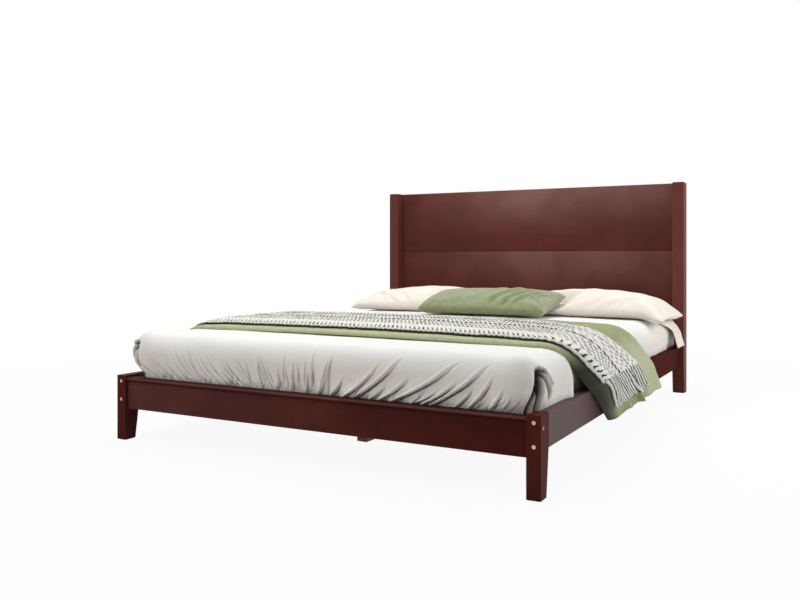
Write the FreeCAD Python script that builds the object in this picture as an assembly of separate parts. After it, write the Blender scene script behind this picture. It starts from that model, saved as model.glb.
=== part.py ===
import FreeCAD, Part
import math
import os
from FreeCAD import Placement, Rotation, Vector

os.makedirs("parts", exist_ok=True)

# Dressed platform bed, in millimetres. +X is the sleeper's right when seen from the foot,
# +Y runs from the foot to the head and +Z is up. The origin is on the floor, at the middle.

# Whole bed
BED_LENGTH = 2105.0
FOOT_WIDTH = 1592.0
HEAD_WIDTH = 1622.0
HEAD_HEIGHT = 1020.0
CUT_OVERRUN = 10.0
TAPER_LIMIT = 20.0

# Foot legs and their felt glides
LEG_HEIGHT = 232.0
LEG_WIDTH = 42.0
LEG_DEPTH = 68.0
LEG_TOE_DEPTH = 49.0
LEG_EASE = 2.5
GLIDE_THICKNESS = 2.0
GLIDE_INSET = 5.0

# Headboard posts
POST_WIDTH = 55.0
POST_DEPTH = 75.0
POST_TOE_DEPTH = 58.0
POST_TOP_EASE = 7.0
POST_EDGE_EASE = 3.0
POST_PROUD = 15.0

# Headboard boards, joined by a tongue and a groove
BOARD_THICKNESS = 20.0
BOARD_SETBACK = 50.0
BOARD_CROWN = 4.0
BOARD_EASE = 3.0
BOARD_TOP_DROP = 2.0
BOARD_SEAM_HEIGHT = 689.0
BOARD_BOTTOM_HEIGHT = 345.0
TONGUE_THICKNESS = 6.0
TONGUE_LENGTH = 8.0
TONGUE_CLEARANCE = 0.2

# Rails
SIDE_RAIL_HEIGHT = 98.0
SIDE_RAIL_THICKNESS = 28.0
RAIL_EASE = 2.0
FOOT_RAIL_LIP = 2.0
FOOT_RAIL_THICKNESS = 22.0
FOOT_RAIL_SETBACK = 13.0
CAP_HEIGHT = 17.0
CAP_NOSE = 6.0
CAP_DROP = 6.0
HEAD_RAIL_HEIGHT = 98.0
HEAD_RAIL_THICKNESS = 22.0

# Slats, their ledgers and the centre beam
LEDGER_WIDTH = 25.0
LEDGER_HEIGHT = 25.0
LEDGER_RISE = 2.0
LEDGER_END_GAP = 62.0
SLAT_COUNT = 13
SLAT_WIDTH = 78.0
SLAT_THICKNESS = 18.0
SLAT_EASE = 2.0
SLAT_SIDE_CLEARANCE = 1.0
SLAT_END_GAP = 6.0
BEAM_WIDTH = 42.0
BEAM_HEIGHT = 45.0
BEAM_END_CLEARANCE = 0.5
HANGER_THICKNESS = 2.0
HANGER_DEPTH = 36.0
HANGER_WING = 26.0
HANGER_CLEARANCE = 0.3
CENTRE_LEG_WIDTH = 42.0
CENTRE_LEG_DEPTH = 68.0
CENTRE_LEG_EASE = 2.0
FIRST_CENTRE_LEG = 425.0
LAST_CENTRE_LEG = 416.0
CENTRE_LEG_COUNT = 3
STUD_RADIUS = 4.0
STUD_LENGTH = 50.0

# Bolts with barrel nuts
BOLT_RADIUS = 3.0
BOLT_HEAD_RADIUS = 5.5
BOLT_HEAD_HEIGHT = 3.0
BOLT_HEAD_SINK = 0.6
BOLT_SOCKET_RADIUS = 2.3
BOLT_SOCKET_DEPTH = 2.0
BOLT_BITE = 42.0
BORE_CLEARANCE = 0.25
NUT_RADIUS = 5.0
NUT_LENGTH = 15.0
NUT_SETBACK = 30.0
RAIL_BOLT_INSET = 8.0
RAIL_BOLT_RISE = 12.0
RAIL_BOLT_DROP = 21.0
LOWER_BOARD_BOLT_RISE = 37.0
LOWER_BOARD_BOLT_DROP = 52.0
UPPER_BOARD_BOLT_RISE = 26.0
UPPER_BOARD_BOLT_DROP = 34.0
CROSS_RAIL_BOLT_SHARE = 0.85

# Dowels
DOWEL_RADIUS = 4.0
DOWEL_LENGTH = 30.0
DOWEL_CLEARANCE = 0.1
CROSS_RAIL_DOWEL_SHARES = (0.2, 0.5)

# Countersunk screws
SCREW_RADIUS = 2.0
SCREW_HEAD_RADIUS = 4.0
SCREW_HEAD_HEIGHT = 2.5
SCREW_CLEARANCE = 0.1
SLAT_SCREW_LENGTH = 33.0
LEDGER_SCREW_LENGTH = 43.0
HANGER_SCREW_LENGTH = 16.0
HANGER_SCREW_SPREAD = 24.0

# Mattress and its tucked white cover
MATTRESS_THICKNESS = 200.0
MATTRESS_SIDE_GAP = 11.0
MATTRESS_FOOT_GAP = 12.0
MATTRESS_HEAD_GAP = 13.0
MATTRESS_CORNER_RADIUS = 108.0
MATTRESS_EDGE_RADIUS = 55.0
MATTRESS_HEM_RADIUS = 12.0
COVER_THICKNESS = 3.0
COVER_CROWN = 3.0
COVER_CROWN_INSET = 240.0
COVER_TUCK = 4.0
COVER_BELLY = 16.0
COVER_HEAD_BELLY = 9.0
COVER_HEM_LIFT = 4.0
COVER_RAIL_LIFT = 8.0
COVER_BELLY_SHARE = 0.57
COVER_SHOULDER_RADIUS = 62.0
SHOULDER_ANGLES = (75.0, 50.0, 25.0, 0.0)
SOFT_GAP = 0.3

# Throws laid across the bed: the blanket, and the knit one on it
DRAPE_SLACK = 24.0
DRAPE_ANGLES = (0.0, 22.5, 45.0, 67.5, 90.0)
DRAPE_SWEEP_SHARES = (0.0, 0.03, 0.08, 0.15, 0.24)
DRAPE_FOLDS = 6
BLANKET_THICKNESS = 4.0
BLANKET_FRONT = 310.0
BLANKET_PILLOW_GAP = 43.0
BLANKET_DROP = 265.0
BLANKET_FOLD_HEIGHT = 48.0
BLANKET_FOLD_DEPTH = 9.0
BLANKET_FRONT_SWEEP = 320.0
BLANKET_BACK_SWEEP = 180.0
KNIT_THICKNESS = 9.0
KNIT_FRONT_MARGIN = 155.0
KNIT_BACK_MARGIN = 285.0
KNIT_DROP = 211.0
KNIT_FOLD_HEIGHT = 76.0
KNIT_FOLD_DEPTH = 3.0
KNIT_FRONT_SWEEP = 235.0
KNIT_BACK_SWEEP = 175.0

# Pillows
PILLOW_WIDTH = 770.0
PILLOW_DEPTH = 500.0
PILLOW_HEIGHT = 112.0
PILLOW_PINCH = 16.0
PILLOW_SWELL = 24.0
PILLOW_SIDE_GAP = 26.0
PILLOW_POST_GAP = 6.0
ACCENT_WIDTH = 640.0
ACCENT_DEPTH = 330.0
ACCENT_HEIGHT = 78.0
ACCENT_PINCH = 12.0
ACCENT_SWELL = 14.0
ACCENT_OFFSET = 28.0
ACCENT_LEAD = 156.0
ACCENT_TILT = 13.0
PILLOW_HEIGHT_SHARES = (0.0, 0.13, 0.5, 0.82, 1.0)
PILLOW_SIZE_SHARES = (0.9, 1.0, 0.84, 0.58, 0.26)
PILLOW_PINCH_SHARES = (0.5, 1.0, 0.0, 0.0, 0.0)
PILLOW_SWELL_SHARES = (0.0, 0.0, 0.4, 1.0, 0.6)

# Places worked out from the sizes
foot_y = -BED_LENGTH / 2
head_y = BED_LENGTH / 2
leg_out_x = FOOT_WIDTH / 2
leg_in_x = leg_out_x - LEG_WIDTH
leg_back_y = foot_y + LEG_DEPTH
post_out_x = HEAD_WIDTH / 2
post_in_x = post_out_x - POST_WIDTH
post_front_y = head_y - POST_DEPTH
rail_top = LEG_HEIGHT
rail_bottom = rail_top - SIDE_RAIL_HEIGHT
rail_head_x = post_out_x - POST_PROUD
foot_rail_front_y = foot_y + FOOT_RAIL_SETBACK
foot_rail_back_y = foot_rail_front_y + FOOT_RAIL_THICKNESS
foot_rail_mid_y = foot_rail_front_y + FOOT_RAIL_THICKNESS / 2
cap_top = LEG_HEIGHT - CAP_DROP
cap_bottom = cap_top - CAP_HEIGHT
board_front_y = post_front_y + BOARD_SETBACK
board_back_y = board_front_y + BOARD_THICKNESS
board_mid_y = board_front_y + BOARD_THICKNESS / 2
board_top = HEAD_HEIGHT - BOARD_TOP_DROP
head_rail_back_y = board_front_y + HEAD_RAIL_THICKNESS
head_rail_mid_y = board_front_y + HEAD_RAIL_THICKNESS / 2
ledger_bottom = rail_bottom + LEDGER_RISE
slat_bottom = ledger_bottom + LEDGER_HEIGHT
slat_top = slat_bottom + SLAT_THICKNESS
ledger_inset = SIDE_RAIL_THICKNESS + LEDGER_WIDTH
beam_bottom = slat_bottom - BEAM_HEIGHT
foot_rail_bottom = beam_bottom - HANGER_THICKNESS - FOOT_RAIL_LIP
head_rail_top = foot_rail_bottom + HEAD_RAIL_HEIGHT
mattress_half = min(leg_out_x, rail_head_x) - SIDE_RAIL_THICKNESS - MATTRESS_SIDE_GAP
mattress_foot_y = foot_rail_back_y + MATTRESS_FOOT_GAP
mattress_head_y = board_front_y - BOARD_CROWN - MATTRESS_HEAD_GAP
mattress_top = slat_top + MATTRESS_THICKNESS
cover_top = mattress_top + COVER_THICKNESS + COVER_CROWN
pillow_back_y = post_front_y - PILLOW_POST_GAP
accent_front_y = pillow_back_y - PILLOW_DEPTH - ACCENT_LEAD
blanket_front_y = foot_y + BLANKET_FRONT
blanket_back_y = accent_front_y - BLANKET_PILLOW_GAP

X_AXIS = Vector(1, 0, 0)
Y_AXIS = Vector(0, 1, 0)
Z_AXIS = Vector(0, 0, 1)
ORIGIN = Vector(0, 0, 0)


def line(start, end):
    return Part.LineSegment(start, end).toShape()


def arc(start, middle, end):
    return Part.Arc(start, middle, end).toShape()


def block(x0, x1, y0, y1, z0, z1):
    return Part.makeBox(x1 - x0, y1 - y0, z1 - z0, Vector(x0, y0, z0))


def rail_out_at(y):
    """The outer face of the right-hand side rail, which runs straight from its leg to its post."""
    return leg_out_x + (rail_head_x - leg_out_x) * (y - leg_back_y) / (post_front_y - leg_back_y)


def beside_rail(inset_out, inset_in, y0, y1, z0, z1):
    """A straight piece that keeps its distance from the outer face of the side rail."""
    places = ((inset_out, y0), (inset_out, y1), (inset_in, y1), (inset_in, y0))
    corners = [Vector(rail_out_at(y) - inset, y, z0) for inset, y in places]
    return Part.Face(Part.makePolygon(corners + corners[:1])).extrude(Z_AXIS * (z1 - z0))


def bar(edges, x0, x1):
    """A closed outline in the Y-Z plane, swept along X."""
    face = Part.Face(Part.Wire(edges))
    face.translate(Vector(x0, 0, 0))
    return face.extrude(Vector(x1 - x0, 0, 0))


def polygon(places):
    """The edges of a straight-sided outline through (y, z) places."""
    points = [Vector(0, y, z) for y, z in places]
    return [line(a, b) for a, b in zip(points, points[1:] + points[:1])]


def mirrored(shape):
    return shape.mirror(ORIGIN, X_AXIS)


def placed(shape, point, direction):
    """A shape drawn along +Z, set at a point and turned to a direction."""
    moved = shape.copy()
    moved.Placement = Placement(point, Rotation(Z_AXIS, direction))
    return moved


def runs_along(edge, axis):
    """Whether an edge follows an axis, give or take a leg's taper."""
    return abs(edge.tangentAt(edge.FirstParameter).dot(axis)) > math.cos(math.radians(TAPER_LIMIT))


def eased(shape, radius, wanted):
    """The shape with the wanted edges rounded over."""
    return shape.makeFillet(radius, [edge for edge in shape.Edges if wanted(edge)])


def at_level(edge, height):
    return all(math.isclose(v.Z, height, rel_tol=1e-6) for v in edge.Vertexes)


# Fasteners, each drawn along +Z from the face that it goes into
def bolt_shape(length):
    head = Part.makeCylinder(BOLT_HEAD_RADIUS, BOLT_HEAD_HEIGHT, Z_AXIS * BOLT_HEAD_SINK)
    shank = Part.makeCylinder(BOLT_RADIUS, length - BOLT_HEAD_SINK, Z_AXIS * BOLT_HEAD_SINK)
    corners = [
        Rotation(Z_AXIS, 360 / 6 * i).multVec(X_AXIS * BOLT_SOCKET_RADIUS) for i in range(6)
    ]
    socket = Part.Face(Part.makePolygon(corners + corners[:1]))
    socket = socket.extrude(Z_AXIS * (BOLT_HEAD_SINK + BOLT_SOCKET_DEPTH))
    return head.fuse(shank).cut(socket)


def bolt_hole(length):
    counterbore = Part.makeCylinder(
        BOLT_HEAD_RADIUS + BORE_CLEARANCE,
        CUT_OVERRUN + BOLT_HEAD_SINK + BOLT_HEAD_HEIGHT,
        -Z_AXIS * CUT_OVERRUN,
    )
    return counterbore.fuse(Part.makeCylinder(BOLT_RADIUS + BORE_CLEARANCE, length + BORE_CLEARANCE))


def nut_shape():
    """A barrel nut along +Z, centred, with its cross hole along X."""
    barrel = Part.makeCylinder(NUT_RADIUS, NUT_LENGTH, -Z_AXIS * (NUT_LENGTH / 2))
    bore = Part.makeCylinder(
        BOLT_RADIUS + DOWEL_CLEARANCE, NUT_LENGTH, -X_AXIS * (NUT_LENGTH / 2), X_AXIS
    )
    return barrel.cut(bore)


def screw_form(length, grow, lead):
    """A countersunk screw, or its hole when it is grown by a clearance and led out of the face."""
    head = Part.makeCone(SCREW_HEAD_RADIUS + grow, SCREW_RADIUS + grow, SCREW_HEAD_HEIGHT)
    form = head.fuse(Part.makeCylinder(SCREW_RADIUS + grow, length + grow))
    if lead:
        form = form.fuse(Part.makeCylinder(SCREW_HEAD_RADIUS + grow, lead, -Z_AXIS * lead))
    return form


parts = {}
holes = {}


def drill(node, *cutters):
    holes.setdefault(node, []).extend(cutters)


def group(node, solids):
    parts[node] = Part.makeCompound(solids)


# Legs and posts
leg = bar(
    polygon(
        [
            (foot_y, GLIDE_THICKNESS),
            (foot_y + LEG_TOE_DEPTH, GLIDE_THICKNESS),
            (leg_back_y, rail_bottom),
            (leg_back_y, LEG_HEIGHT),
            (foot_y, LEG_HEIGHT),
        ]
    ),
    leg_in_x,
    leg_out_x,
)
parts["foot_leg_right"] = eased(
    leg, LEG_EASE, lambda e: at_level(e, LEG_HEIGHT) or runs_along(e, Z_AXIS)
)

post = bar(
    polygon(
        [
            (head_y - POST_TOE_DEPTH, GLIDE_THICKNESS),
            (head_y, GLIDE_THICKNESS),
            (head_y, HEAD_HEIGHT),
            (post_front_y, HEAD_HEIGHT),
            (post_front_y, rail_bottom),
        ]
    ),
    post_in_x,
    post_out_x,
)
post = eased(post, POST_EDGE_EASE, lambda e: runs_along(e, Z_AXIS))
parts["headboard_post_right"] = eased(post, POST_TOP_EASE, lambda e: at_level(e, HEAD_HEIGHT))


# Headboard boards: crowned faces, with eased edges that leave a groove at the seam
def board_outline(bottom, top):
    middle = (bottom + top) / 2
    back_low = Vector(0, board_back_y, bottom)
    back_high = Vector(0, board_back_y, top)
    edge_high = Vector(0, board_front_y + BOARD_EASE, top)
    face_high = Vector(0, board_front_y, top - BOARD_EASE)
    crown = Vector(0, board_front_y - BOARD_CROWN, middle)
    face_low = Vector(0, board_front_y, bottom + BOARD_EASE)
    edge_low = Vector(0, board_front_y + BOARD_EASE, bottom)
    return [
        line(back_low, back_high),
        line(back_high, edge_high),
        line(edge_high, face_high),
        arc(face_high, crown, face_low),
        line(face_low, edge_low),
        line(edge_low, back_low),
    ]


def tongue(grow):
    return block(
        -post_in_x,
        post_in_x,
        board_mid_y - TONGUE_THICKNESS / 2 - grow,
        board_mid_y + TONGUE_THICKNESS / 2 + grow,
        BOARD_SEAM_HEIGHT - TONGUE_LENGTH,
        BOARD_SEAM_HEIGHT + TONGUE_LENGTH + grow,
    )


lower_board = bar(board_outline(BOARD_BOTTOM_HEIGHT, BOARD_SEAM_HEIGHT), -post_in_x, post_in_x)
upper_board = bar(board_outline(BOARD_SEAM_HEIGHT, board_top), -post_in_x, post_in_x)
parts["headboard_lower_board"] = lower_board.fuse(tongue(0)).removeSplitter()
parts["headboard_upper_board"] = upper_board.cut(tongue(TONGUE_CLEARANCE))

# Rails
side_rail = beside_rail(0, SIDE_RAIL_THICKNESS, leg_back_y, post_front_y, rail_bottom, rail_top)
parts["side_rail_right"] = eased(side_rail, RAIL_EASE, lambda e: runs_along(e, Y_AXIS))

foot_rail = block(
    -leg_in_x, leg_in_x, foot_rail_front_y, foot_rail_back_y, foot_rail_bottom, cap_bottom
)
parts["foot_rail"] = eased(
    foot_rail, RAIL_EASE, lambda e: runs_along(e, X_AXIS) and at_level(e, foot_rail_bottom)
)

cap_back_low = Vector(0, foot_rail_back_y, cap_bottom)
cap_back_high = Vector(0, foot_rail_back_y, cap_top)
cap_front_high = Vector(0, foot_rail_front_y, cap_top)
cap_front = Vector(0, foot_rail_front_y - CAP_NOSE, cap_bottom + CAP_HEIGHT / 2)
cap_front_low = Vector(0, foot_rail_front_y, cap_bottom)
parts["foot_rail_cap"] = bar(
    [
        line(cap_back_low, cap_back_high),
        line(cap_back_high, cap_front_high),
        arc(cap_front_high, cap_front, cap_front_low),
        line(cap_front_low, cap_back_low),
    ],
    -leg_in_x,
    leg_in_x,
)

head_rail = block(
    -post_in_x,
    post_in_x,
    board_front_y,
    head_rail_back_y,
    foot_rail_bottom,
    head_rail_top,
)
parts["head_rail"] = eased(head_rail, RAIL_EASE, lambda e: runs_along(e, X_AXIS))

# Slat ledgers, slats and the centre beam on its legs
parts["slat_ledger_right"] = beside_rail(
    SIDE_RAIL_THICKNESS,
    ledger_inset,
    leg_back_y + LEDGER_END_GAP,
    post_front_y - LEDGER_END_GAP,
    ledger_bottom,
    slat_bottom,
)

first_slat_y = leg_back_y + LEDGER_END_GAP + SLAT_END_GAP
last_slat_y = post_front_y - LEDGER_END_GAP - SLAT_END_GAP - SLAT_WIDTH
slat_pitch = (last_slat_y - first_slat_y) / (SLAT_COUNT - 1)
slat_names = [f"slat_{i + 1:02d}" for i in range(SLAT_COUNT)]
slat_starts = [first_slat_y + slat_pitch * i for i in range(SLAT_COUNT)]
for name, start in zip(slat_names, slat_starts):
    narrow_x = min(rail_out_at(start), rail_out_at(start + SLAT_WIDTH))
    end_x = narrow_x - SIDE_RAIL_THICKNESS - SLAT_SIDE_CLEARANCE
    slat = block(-end_x, end_x, start, start + SLAT_WIDTH, slat_bottom, slat_top)
    parts[name] = eased(slat, SLAT_EASE, lambda e: runs_along(e, X_AXIS))

parts["centre_beam"] = block(
    -BEAM_WIDTH / 2,
    BEAM_WIDTH / 2,
    foot_rail_back_y + HANGER_THICKNESS + BEAM_END_CLEARANCE,
    board_front_y - HANGER_THICKNESS - BEAM_END_CLEARANCE,
    beam_bottom,
    slat_bottom,
)


def hanger_shape(face_y, towards):
    """A steel stirrup on a rail's face: a plate with wings, and a tray that takes the beam's end."""

    def slab(x0, x1, reach0, reach1, z0, z1):
        y0, y1 = sorted((face_y + towards * reach0, face_y + towards * reach1))
        return block(x0, x1, y0, y1, z0, z1)

    inner = BEAM_WIDTH / 2 + HANGER_CLEARANCE
    outer = inner + HANGER_THICKNESS
    floor = beam_bottom - HANGER_THICKNESS
    wing = outer + HANGER_WING
    plate = slab(-wing, wing, 0, HANGER_THICKNESS, floor, slat_bottom)
    tray = slab(-outer, outer, 0, HANGER_DEPTH, floor, slat_bottom)
    room = slab(-inner, inner, HANGER_THICKNESS, HANGER_DEPTH, beam_bottom, slat_bottom)
    return plate.fuse(tray.cut(room)).removeSplitter()


parts["beam_hanger_foot"] = hanger_shape(foot_rail_back_y, 1)
parts["beam_hanger_head"] = hanger_shape(board_front_y, -1)

centre_leg_pitch = (BED_LENGTH - FIRST_CENTRE_LEG - LAST_CENTRE_LEG) / (CENTRE_LEG_COUNT - 1)
centre_leg_ys = [foot_y + FIRST_CENTRE_LEG + centre_leg_pitch * i for i in range(CENTRE_LEG_COUNT)]
for i, y in enumerate(centre_leg_ys):
    support = block(
        -CENTRE_LEG_WIDTH / 2,
        CENTRE_LEG_WIDTH / 2,
        y - CENTRE_LEG_DEPTH / 2,
        y + CENTRE_LEG_DEPTH / 2,
        GLIDE_THICKNESS,
        beam_bottom,
    )
    parts[f"centre_leg_{i + 1}"] = eased(support, CENTRE_LEG_EASE, lambda e: runs_along(e, Z_AXIS))


# Felt glides under every leg
def glide(x0, x1, y0, y1):
    return block(
        x0 + GLIDE_INSET, x1 - GLIDE_INSET, y0 + GLIDE_INSET, y1 - GLIDE_INSET, 0, GLIDE_THICKNESS
    )


leg_glide = glide(leg_in_x, leg_out_x, foot_y, foot_y + LEG_TOE_DEPTH)
post_glide = glide(post_in_x, post_out_x, head_y - POST_TOE_DEPTH, head_y)
glides = [leg_glide, mirrored(leg_glide), post_glide, mirrored(post_glide)]
for y in centre_leg_ys:
    glides.append(
        glide(
            -CENTRE_LEG_WIDTH / 2,
            CENTRE_LEG_WIDTH / 2,
            y - CENTRE_LEG_DEPTH / 2,
            y + CENTRE_LEG_DEPTH / 2,
        )
    )
group("leg_glides", glides)

# Bolts: a list of joints, each with its post or leg, its rail, the head's place and the nut's axis
nuts = []
dowels = []


def bolt_joint(upright, rail, point, direction, depth, nut_axis):
    """A bolt through an upright into a rail's end, and the barrel nut that it draws on."""
    length = depth + BOLT_BITE
    hole = placed(bolt_hole(length), point, direction)
    nut_place = point + direction * (depth + NUT_SETBACK)
    frame = Rotation(direction, Vector(0, 0, 0), nut_axis, "ZXY")
    nut = nut_shape()
    nut.Placement = Placement(nut_place, frame)
    pocket = Part.makeCylinder(
        NUT_RADIUS + BORE_CLEARANCE,
        NUT_LENGTH + CUT_OVERRUN,
        nut_place - nut_axis * (NUT_LENGTH / 2),
        nut_axis,
    )
    drill(upright, hole)
    drill(rail, hole, pocket)
    nuts.append(nut)
    return placed(bolt_shape(length), point, direction)


def dowel_joint(upright, rail, point, direction):
    """A dowel half in an upright and half in a rail's end; the point is where the two meet."""
    start = point - direction * (DOWEL_LENGTH / 2)
    hole = Part.makeCylinder(
        DOWEL_RADIUS + DOWEL_CLEARANCE,
        DOWEL_LENGTH + DOWEL_CLEARANCE * 2,
        start - direction * DOWEL_CLEARANCE,
        direction,
    )
    drill(upright, hole)
    drill(rail, hole)
    dowels.append(Part.makeCylinder(DOWEL_RADIUS, DOWEL_LENGTH, start, direction))


def halfway(heights):
    return sum(heights) / len(heights)


foot_bolt_x = leg_out_x - SIDE_RAIL_THICKNESS + RAIL_BOLT_INSET
head_bolt_x = rail_head_x - SIDE_RAIL_THICKNESS + RAIL_BOLT_INSET
rail_bolt_heights = (rail_bottom + RAIL_BOLT_RISE, rail_top - RAIL_BOLT_DROP)
rail_bolts = []
for z in rail_bolt_heights:
    foot_place = Vector(foot_bolt_x, foot_y, z)
    head_place = Vector(head_bolt_x, head_y, z)
    rail_bolts.append(
        bolt_joint("foot_leg_right", "side_rail_right", foot_place, Y_AXIS, LEG_DEPTH, -X_AXIS)
    )
    rail_bolts.append(
        bolt_joint("headboard_post_right", "side_rail_right", head_place, -Y_AXIS, POST_DEPTH, -X_AXIS)
    )
for upright, x, y in (
    ("foot_leg_right", foot_bolt_x, leg_back_y),
    ("headboard_post_right", head_bolt_x, post_front_y),
):
    dowel_joint(upright, "side_rail_right", Vector(x, y, halfway(rail_bolt_heights)), Y_AXIS)


def foot_rail_level(share):
    return foot_rail_bottom + (cap_bottom - foot_rail_bottom) * share


def head_rail_level(share):
    return foot_rail_bottom + HEAD_RAIL_HEIGHT * share


foot_rail_bolt = bolt_joint(
    "foot_leg_right",
    "foot_rail",
    Vector(leg_out_x, foot_rail_mid_y, foot_rail_level(CROSS_RAIL_BOLT_SHARE)),
    -X_AXIS,
    LEG_WIDTH,
    Y_AXIS,
)
head_bolts = [
    bolt_joint(
        "headboard_post_right",
        "head_rail",
        Vector(post_out_x, head_rail_mid_y, head_rail_level(CROSS_RAIL_BOLT_SHARE)),
        -X_AXIS,
        POST_WIDTH,
        Y_AXIS,
    )
]
for share in CROSS_RAIL_DOWEL_SHARES:
    foot_place = Vector(leg_in_x, foot_rail_mid_y, foot_rail_level(share))
    head_place = Vector(post_in_x, head_rail_mid_y, head_rail_level(share))
    dowel_joint("foot_leg_right", "foot_rail", foot_place, X_AXIS)
    dowel_joint("headboard_post_right", "head_rail", head_place, X_AXIS)

lower_bolt_heights = (
    BOARD_BOTTOM_HEIGHT + LOWER_BOARD_BOLT_RISE,
    BOARD_SEAM_HEIGHT - LOWER_BOARD_BOLT_DROP,
)
upper_bolt_heights = (BOARD_SEAM_HEIGHT + UPPER_BOARD_BOLT_RISE, board_top - UPPER_BOARD_BOLT_DROP)
for board, heights in (
    ("headboard_lower_board", lower_bolt_heights),
    ("headboard_upper_board", upper_bolt_heights),
):
    for z in heights:
        place = Vector(post_out_x, board_mid_y, z)
        head_bolts.append(
            bolt_joint("headboard_post_right", board, place, -X_AXIS, POST_WIDTH, Y_AXIS)
        )
    dowel_place = Vector(post_in_x, board_mid_y, halfway(heights))
    dowel_joint("headboard_post_right", board, dowel_place, X_AXIS)


def both_sides(solids):
    return solids + [mirrored(s) for s in solids]


group("side_rail_bolts", both_sides(rail_bolts))
group("foot_rail_bolts", both_sides([foot_rail_bolt]))
group("headboard_bolts", both_sides(head_bolts))
group("barrel_nuts", both_sides(nuts))
group("dowels", both_sides(dowels))

# Screws
slat_screws = []
slat_screw = screw_form(SLAT_SCREW_LENGTH, 0, 0)
slat_screw_hole = screw_form(SLAT_SCREW_LENGTH, SCREW_CLEARANCE, CUT_OVERRUN)
for name, start in zip(slat_names, slat_starts):
    y = start + SLAT_WIDTH / 2
    end_x = rail_out_at(y) - SIDE_RAIL_THICKNESS - LEDGER_WIDTH / 2
    for x, carrier in ((end_x, "slat_ledger_right"), (0, "centre_beam"), (-end_x, None)):
        place = Vector(x, y, slat_top)
        hole = placed(slat_screw_hole, place, -Z_AXIS)
        slat_screws.append(placed(slat_screw, place, -Z_AXIS))
        drill(name, hole)
        if carrier:
            drill(carrier, hole)
group("slat_screws", slat_screws)

ledger_screws = []
for start in slat_starts[:-1:2]:
    gap_middle = start + SLAT_WIDTH + (slat_pitch - SLAT_WIDTH) / 2
    face_x = rail_out_at(gap_middle) - ledger_inset
    place = Vector(face_x, gap_middle, ledger_bottom + LEDGER_HEIGHT / 2)
    hole = placed(screw_form(LEDGER_SCREW_LENGTH, SCREW_CLEARANCE, CUT_OVERRUN), place, X_AXIS)
    ledger_screws.append(placed(screw_form(LEDGER_SCREW_LENGTH, 0, 0), place, X_AXIS))
    drill("slat_ledger_right", hole)
    drill("side_rail_right", hole)
group("ledger_screws", both_sides(ledger_screws))

hanger_screws = []
hanger_screw_x = BEAM_WIDTH / 2 + HANGER_CLEARANCE + HANGER_THICKNESS + HANGER_WING / 2
beam_mid_z = beam_bottom + BEAM_HEIGHT / 2
for hanger, rail, face_y, into in (
    ("beam_hanger_foot", "foot_rail", foot_rail_back_y + HANGER_THICKNESS, -Y_AXIS),
    ("beam_hanger_head", "head_rail", board_front_y - HANGER_THICKNESS, Y_AXIS),
):
    for x in (-hanger_screw_x, hanger_screw_x):
        for z in (beam_mid_z - HANGER_SCREW_SPREAD / 2, beam_mid_z + HANGER_SCREW_SPREAD / 2):
            place = Vector(x, face_y, z)
            hole = placed(screw_form(HANGER_SCREW_LENGTH, SCREW_CLEARANCE, CUT_OVERRUN), place, into)
            hanger_screws.append(placed(screw_form(HANGER_SCREW_LENGTH, 0, 0), place, into))
            drill(hanger, hole)
            drill(rail, hole)
group("hanger_screws", hanger_screws)

studs = []
for i, y in enumerate(centre_leg_ys):
    base = Vector(0, y, beam_bottom - STUD_LENGTH / 2)
    studs.append(Part.makeCylinder(STUD_RADIUS, STUD_LENGTH, base))
    hole = Part.makeCylinder(
        STUD_RADIUS + DOWEL_CLEARANCE,
        STUD_LENGTH + DOWEL_CLEARANCE * 2,
        base - Z_AXIS * DOWEL_CLEARANCE,
    )
    drill(f"centre_leg_{i + 1}", hole)
    drill("centre_beam", hole)
group("centre_leg_studs", studs)

# Holes go in before the right-hand pieces are mirrored; the cross pieces are drilled at both ends
cross_pieces = ("foot_rail", "head_rail", "headboard_lower_board", "headboard_upper_board")
for node, cutters in holes.items():
    if node in cross_pieces:
        cutters = both_sides(cutters)
    parts[node] = parts[node].cut(cutters)
for name in ("foot_leg", "headboard_post", "side_rail", "slat_ledger"):
    parts[f"{name}_left"] = mirrored(parts[f"{name}_right"])


# Mattress and cover
def rounded_rectangle(half_width, y0, y1, radius, z):
    """A level outline of four lines and four quarter arcs."""
    diagonal = radius * math.cos(math.radians(45))
    x_in = half_width - radius
    edges = []
    turns = ((1, -1), (1, 1), (-1, 1), (-1, -1))
    centres = [(sx * x_in, (y1 - radius) if sy > 0 else (y0 + radius)) for sx, sy in turns]
    starts = []
    ends = []
    for (sx, sy), (cx, cy) in zip(turns, centres):
        along_x = Vector(cx, cy + sy * radius, z)
        along_y = Vector(cx + sx * radius, cy, z)
        starts.append(along_x if sx * sy < 0 else along_y)
        ends.append(along_y if sx * sy < 0 else along_x)
    for i, ((sx, sy), (cx, cy)) in enumerate(zip(turns, centres)):
        middle = Vector(cx + sx * diagonal, cy + sy * diagonal, z)
        edges.append(arc(starts[i], middle, ends[i]))
        edges.append(line(ends[i], starts[(i + 1) % len(turns)]))
    return Part.Wire(edges)


def mattress_form(grow, drop):
    """The mattress block, grown by a clearance and lengthened downwards when it cuts the cover."""
    wire = rounded_rectangle(
        mattress_half + grow,
        mattress_foot_y - grow,
        mattress_head_y + grow,
        MATTRESS_CORNER_RADIUS + grow,
        slat_top - drop,
    )
    body = Part.Face(wire).extrude(Z_AXIS * (MATTRESS_THICKNESS + grow + drop))
    rounded = eased(body, MATTRESS_EDGE_RADIUS, lambda e: at_level(e, mattress_top + grow))
    if drop:
        return rounded
    return eased(rounded, MATTRESS_HEM_RADIUS, lambda e: at_level(e, slat_top))


def cover_section(height, reach):
    head_reach = min(reach, COVER_HEAD_BELLY)
    return rounded_rectangle(
        mattress_half + reach,
        mattress_foot_y - reach,
        mattress_head_y + head_reach,
        MATTRESS_CORNER_RADIUS + reach,
        height,
    )


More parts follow.
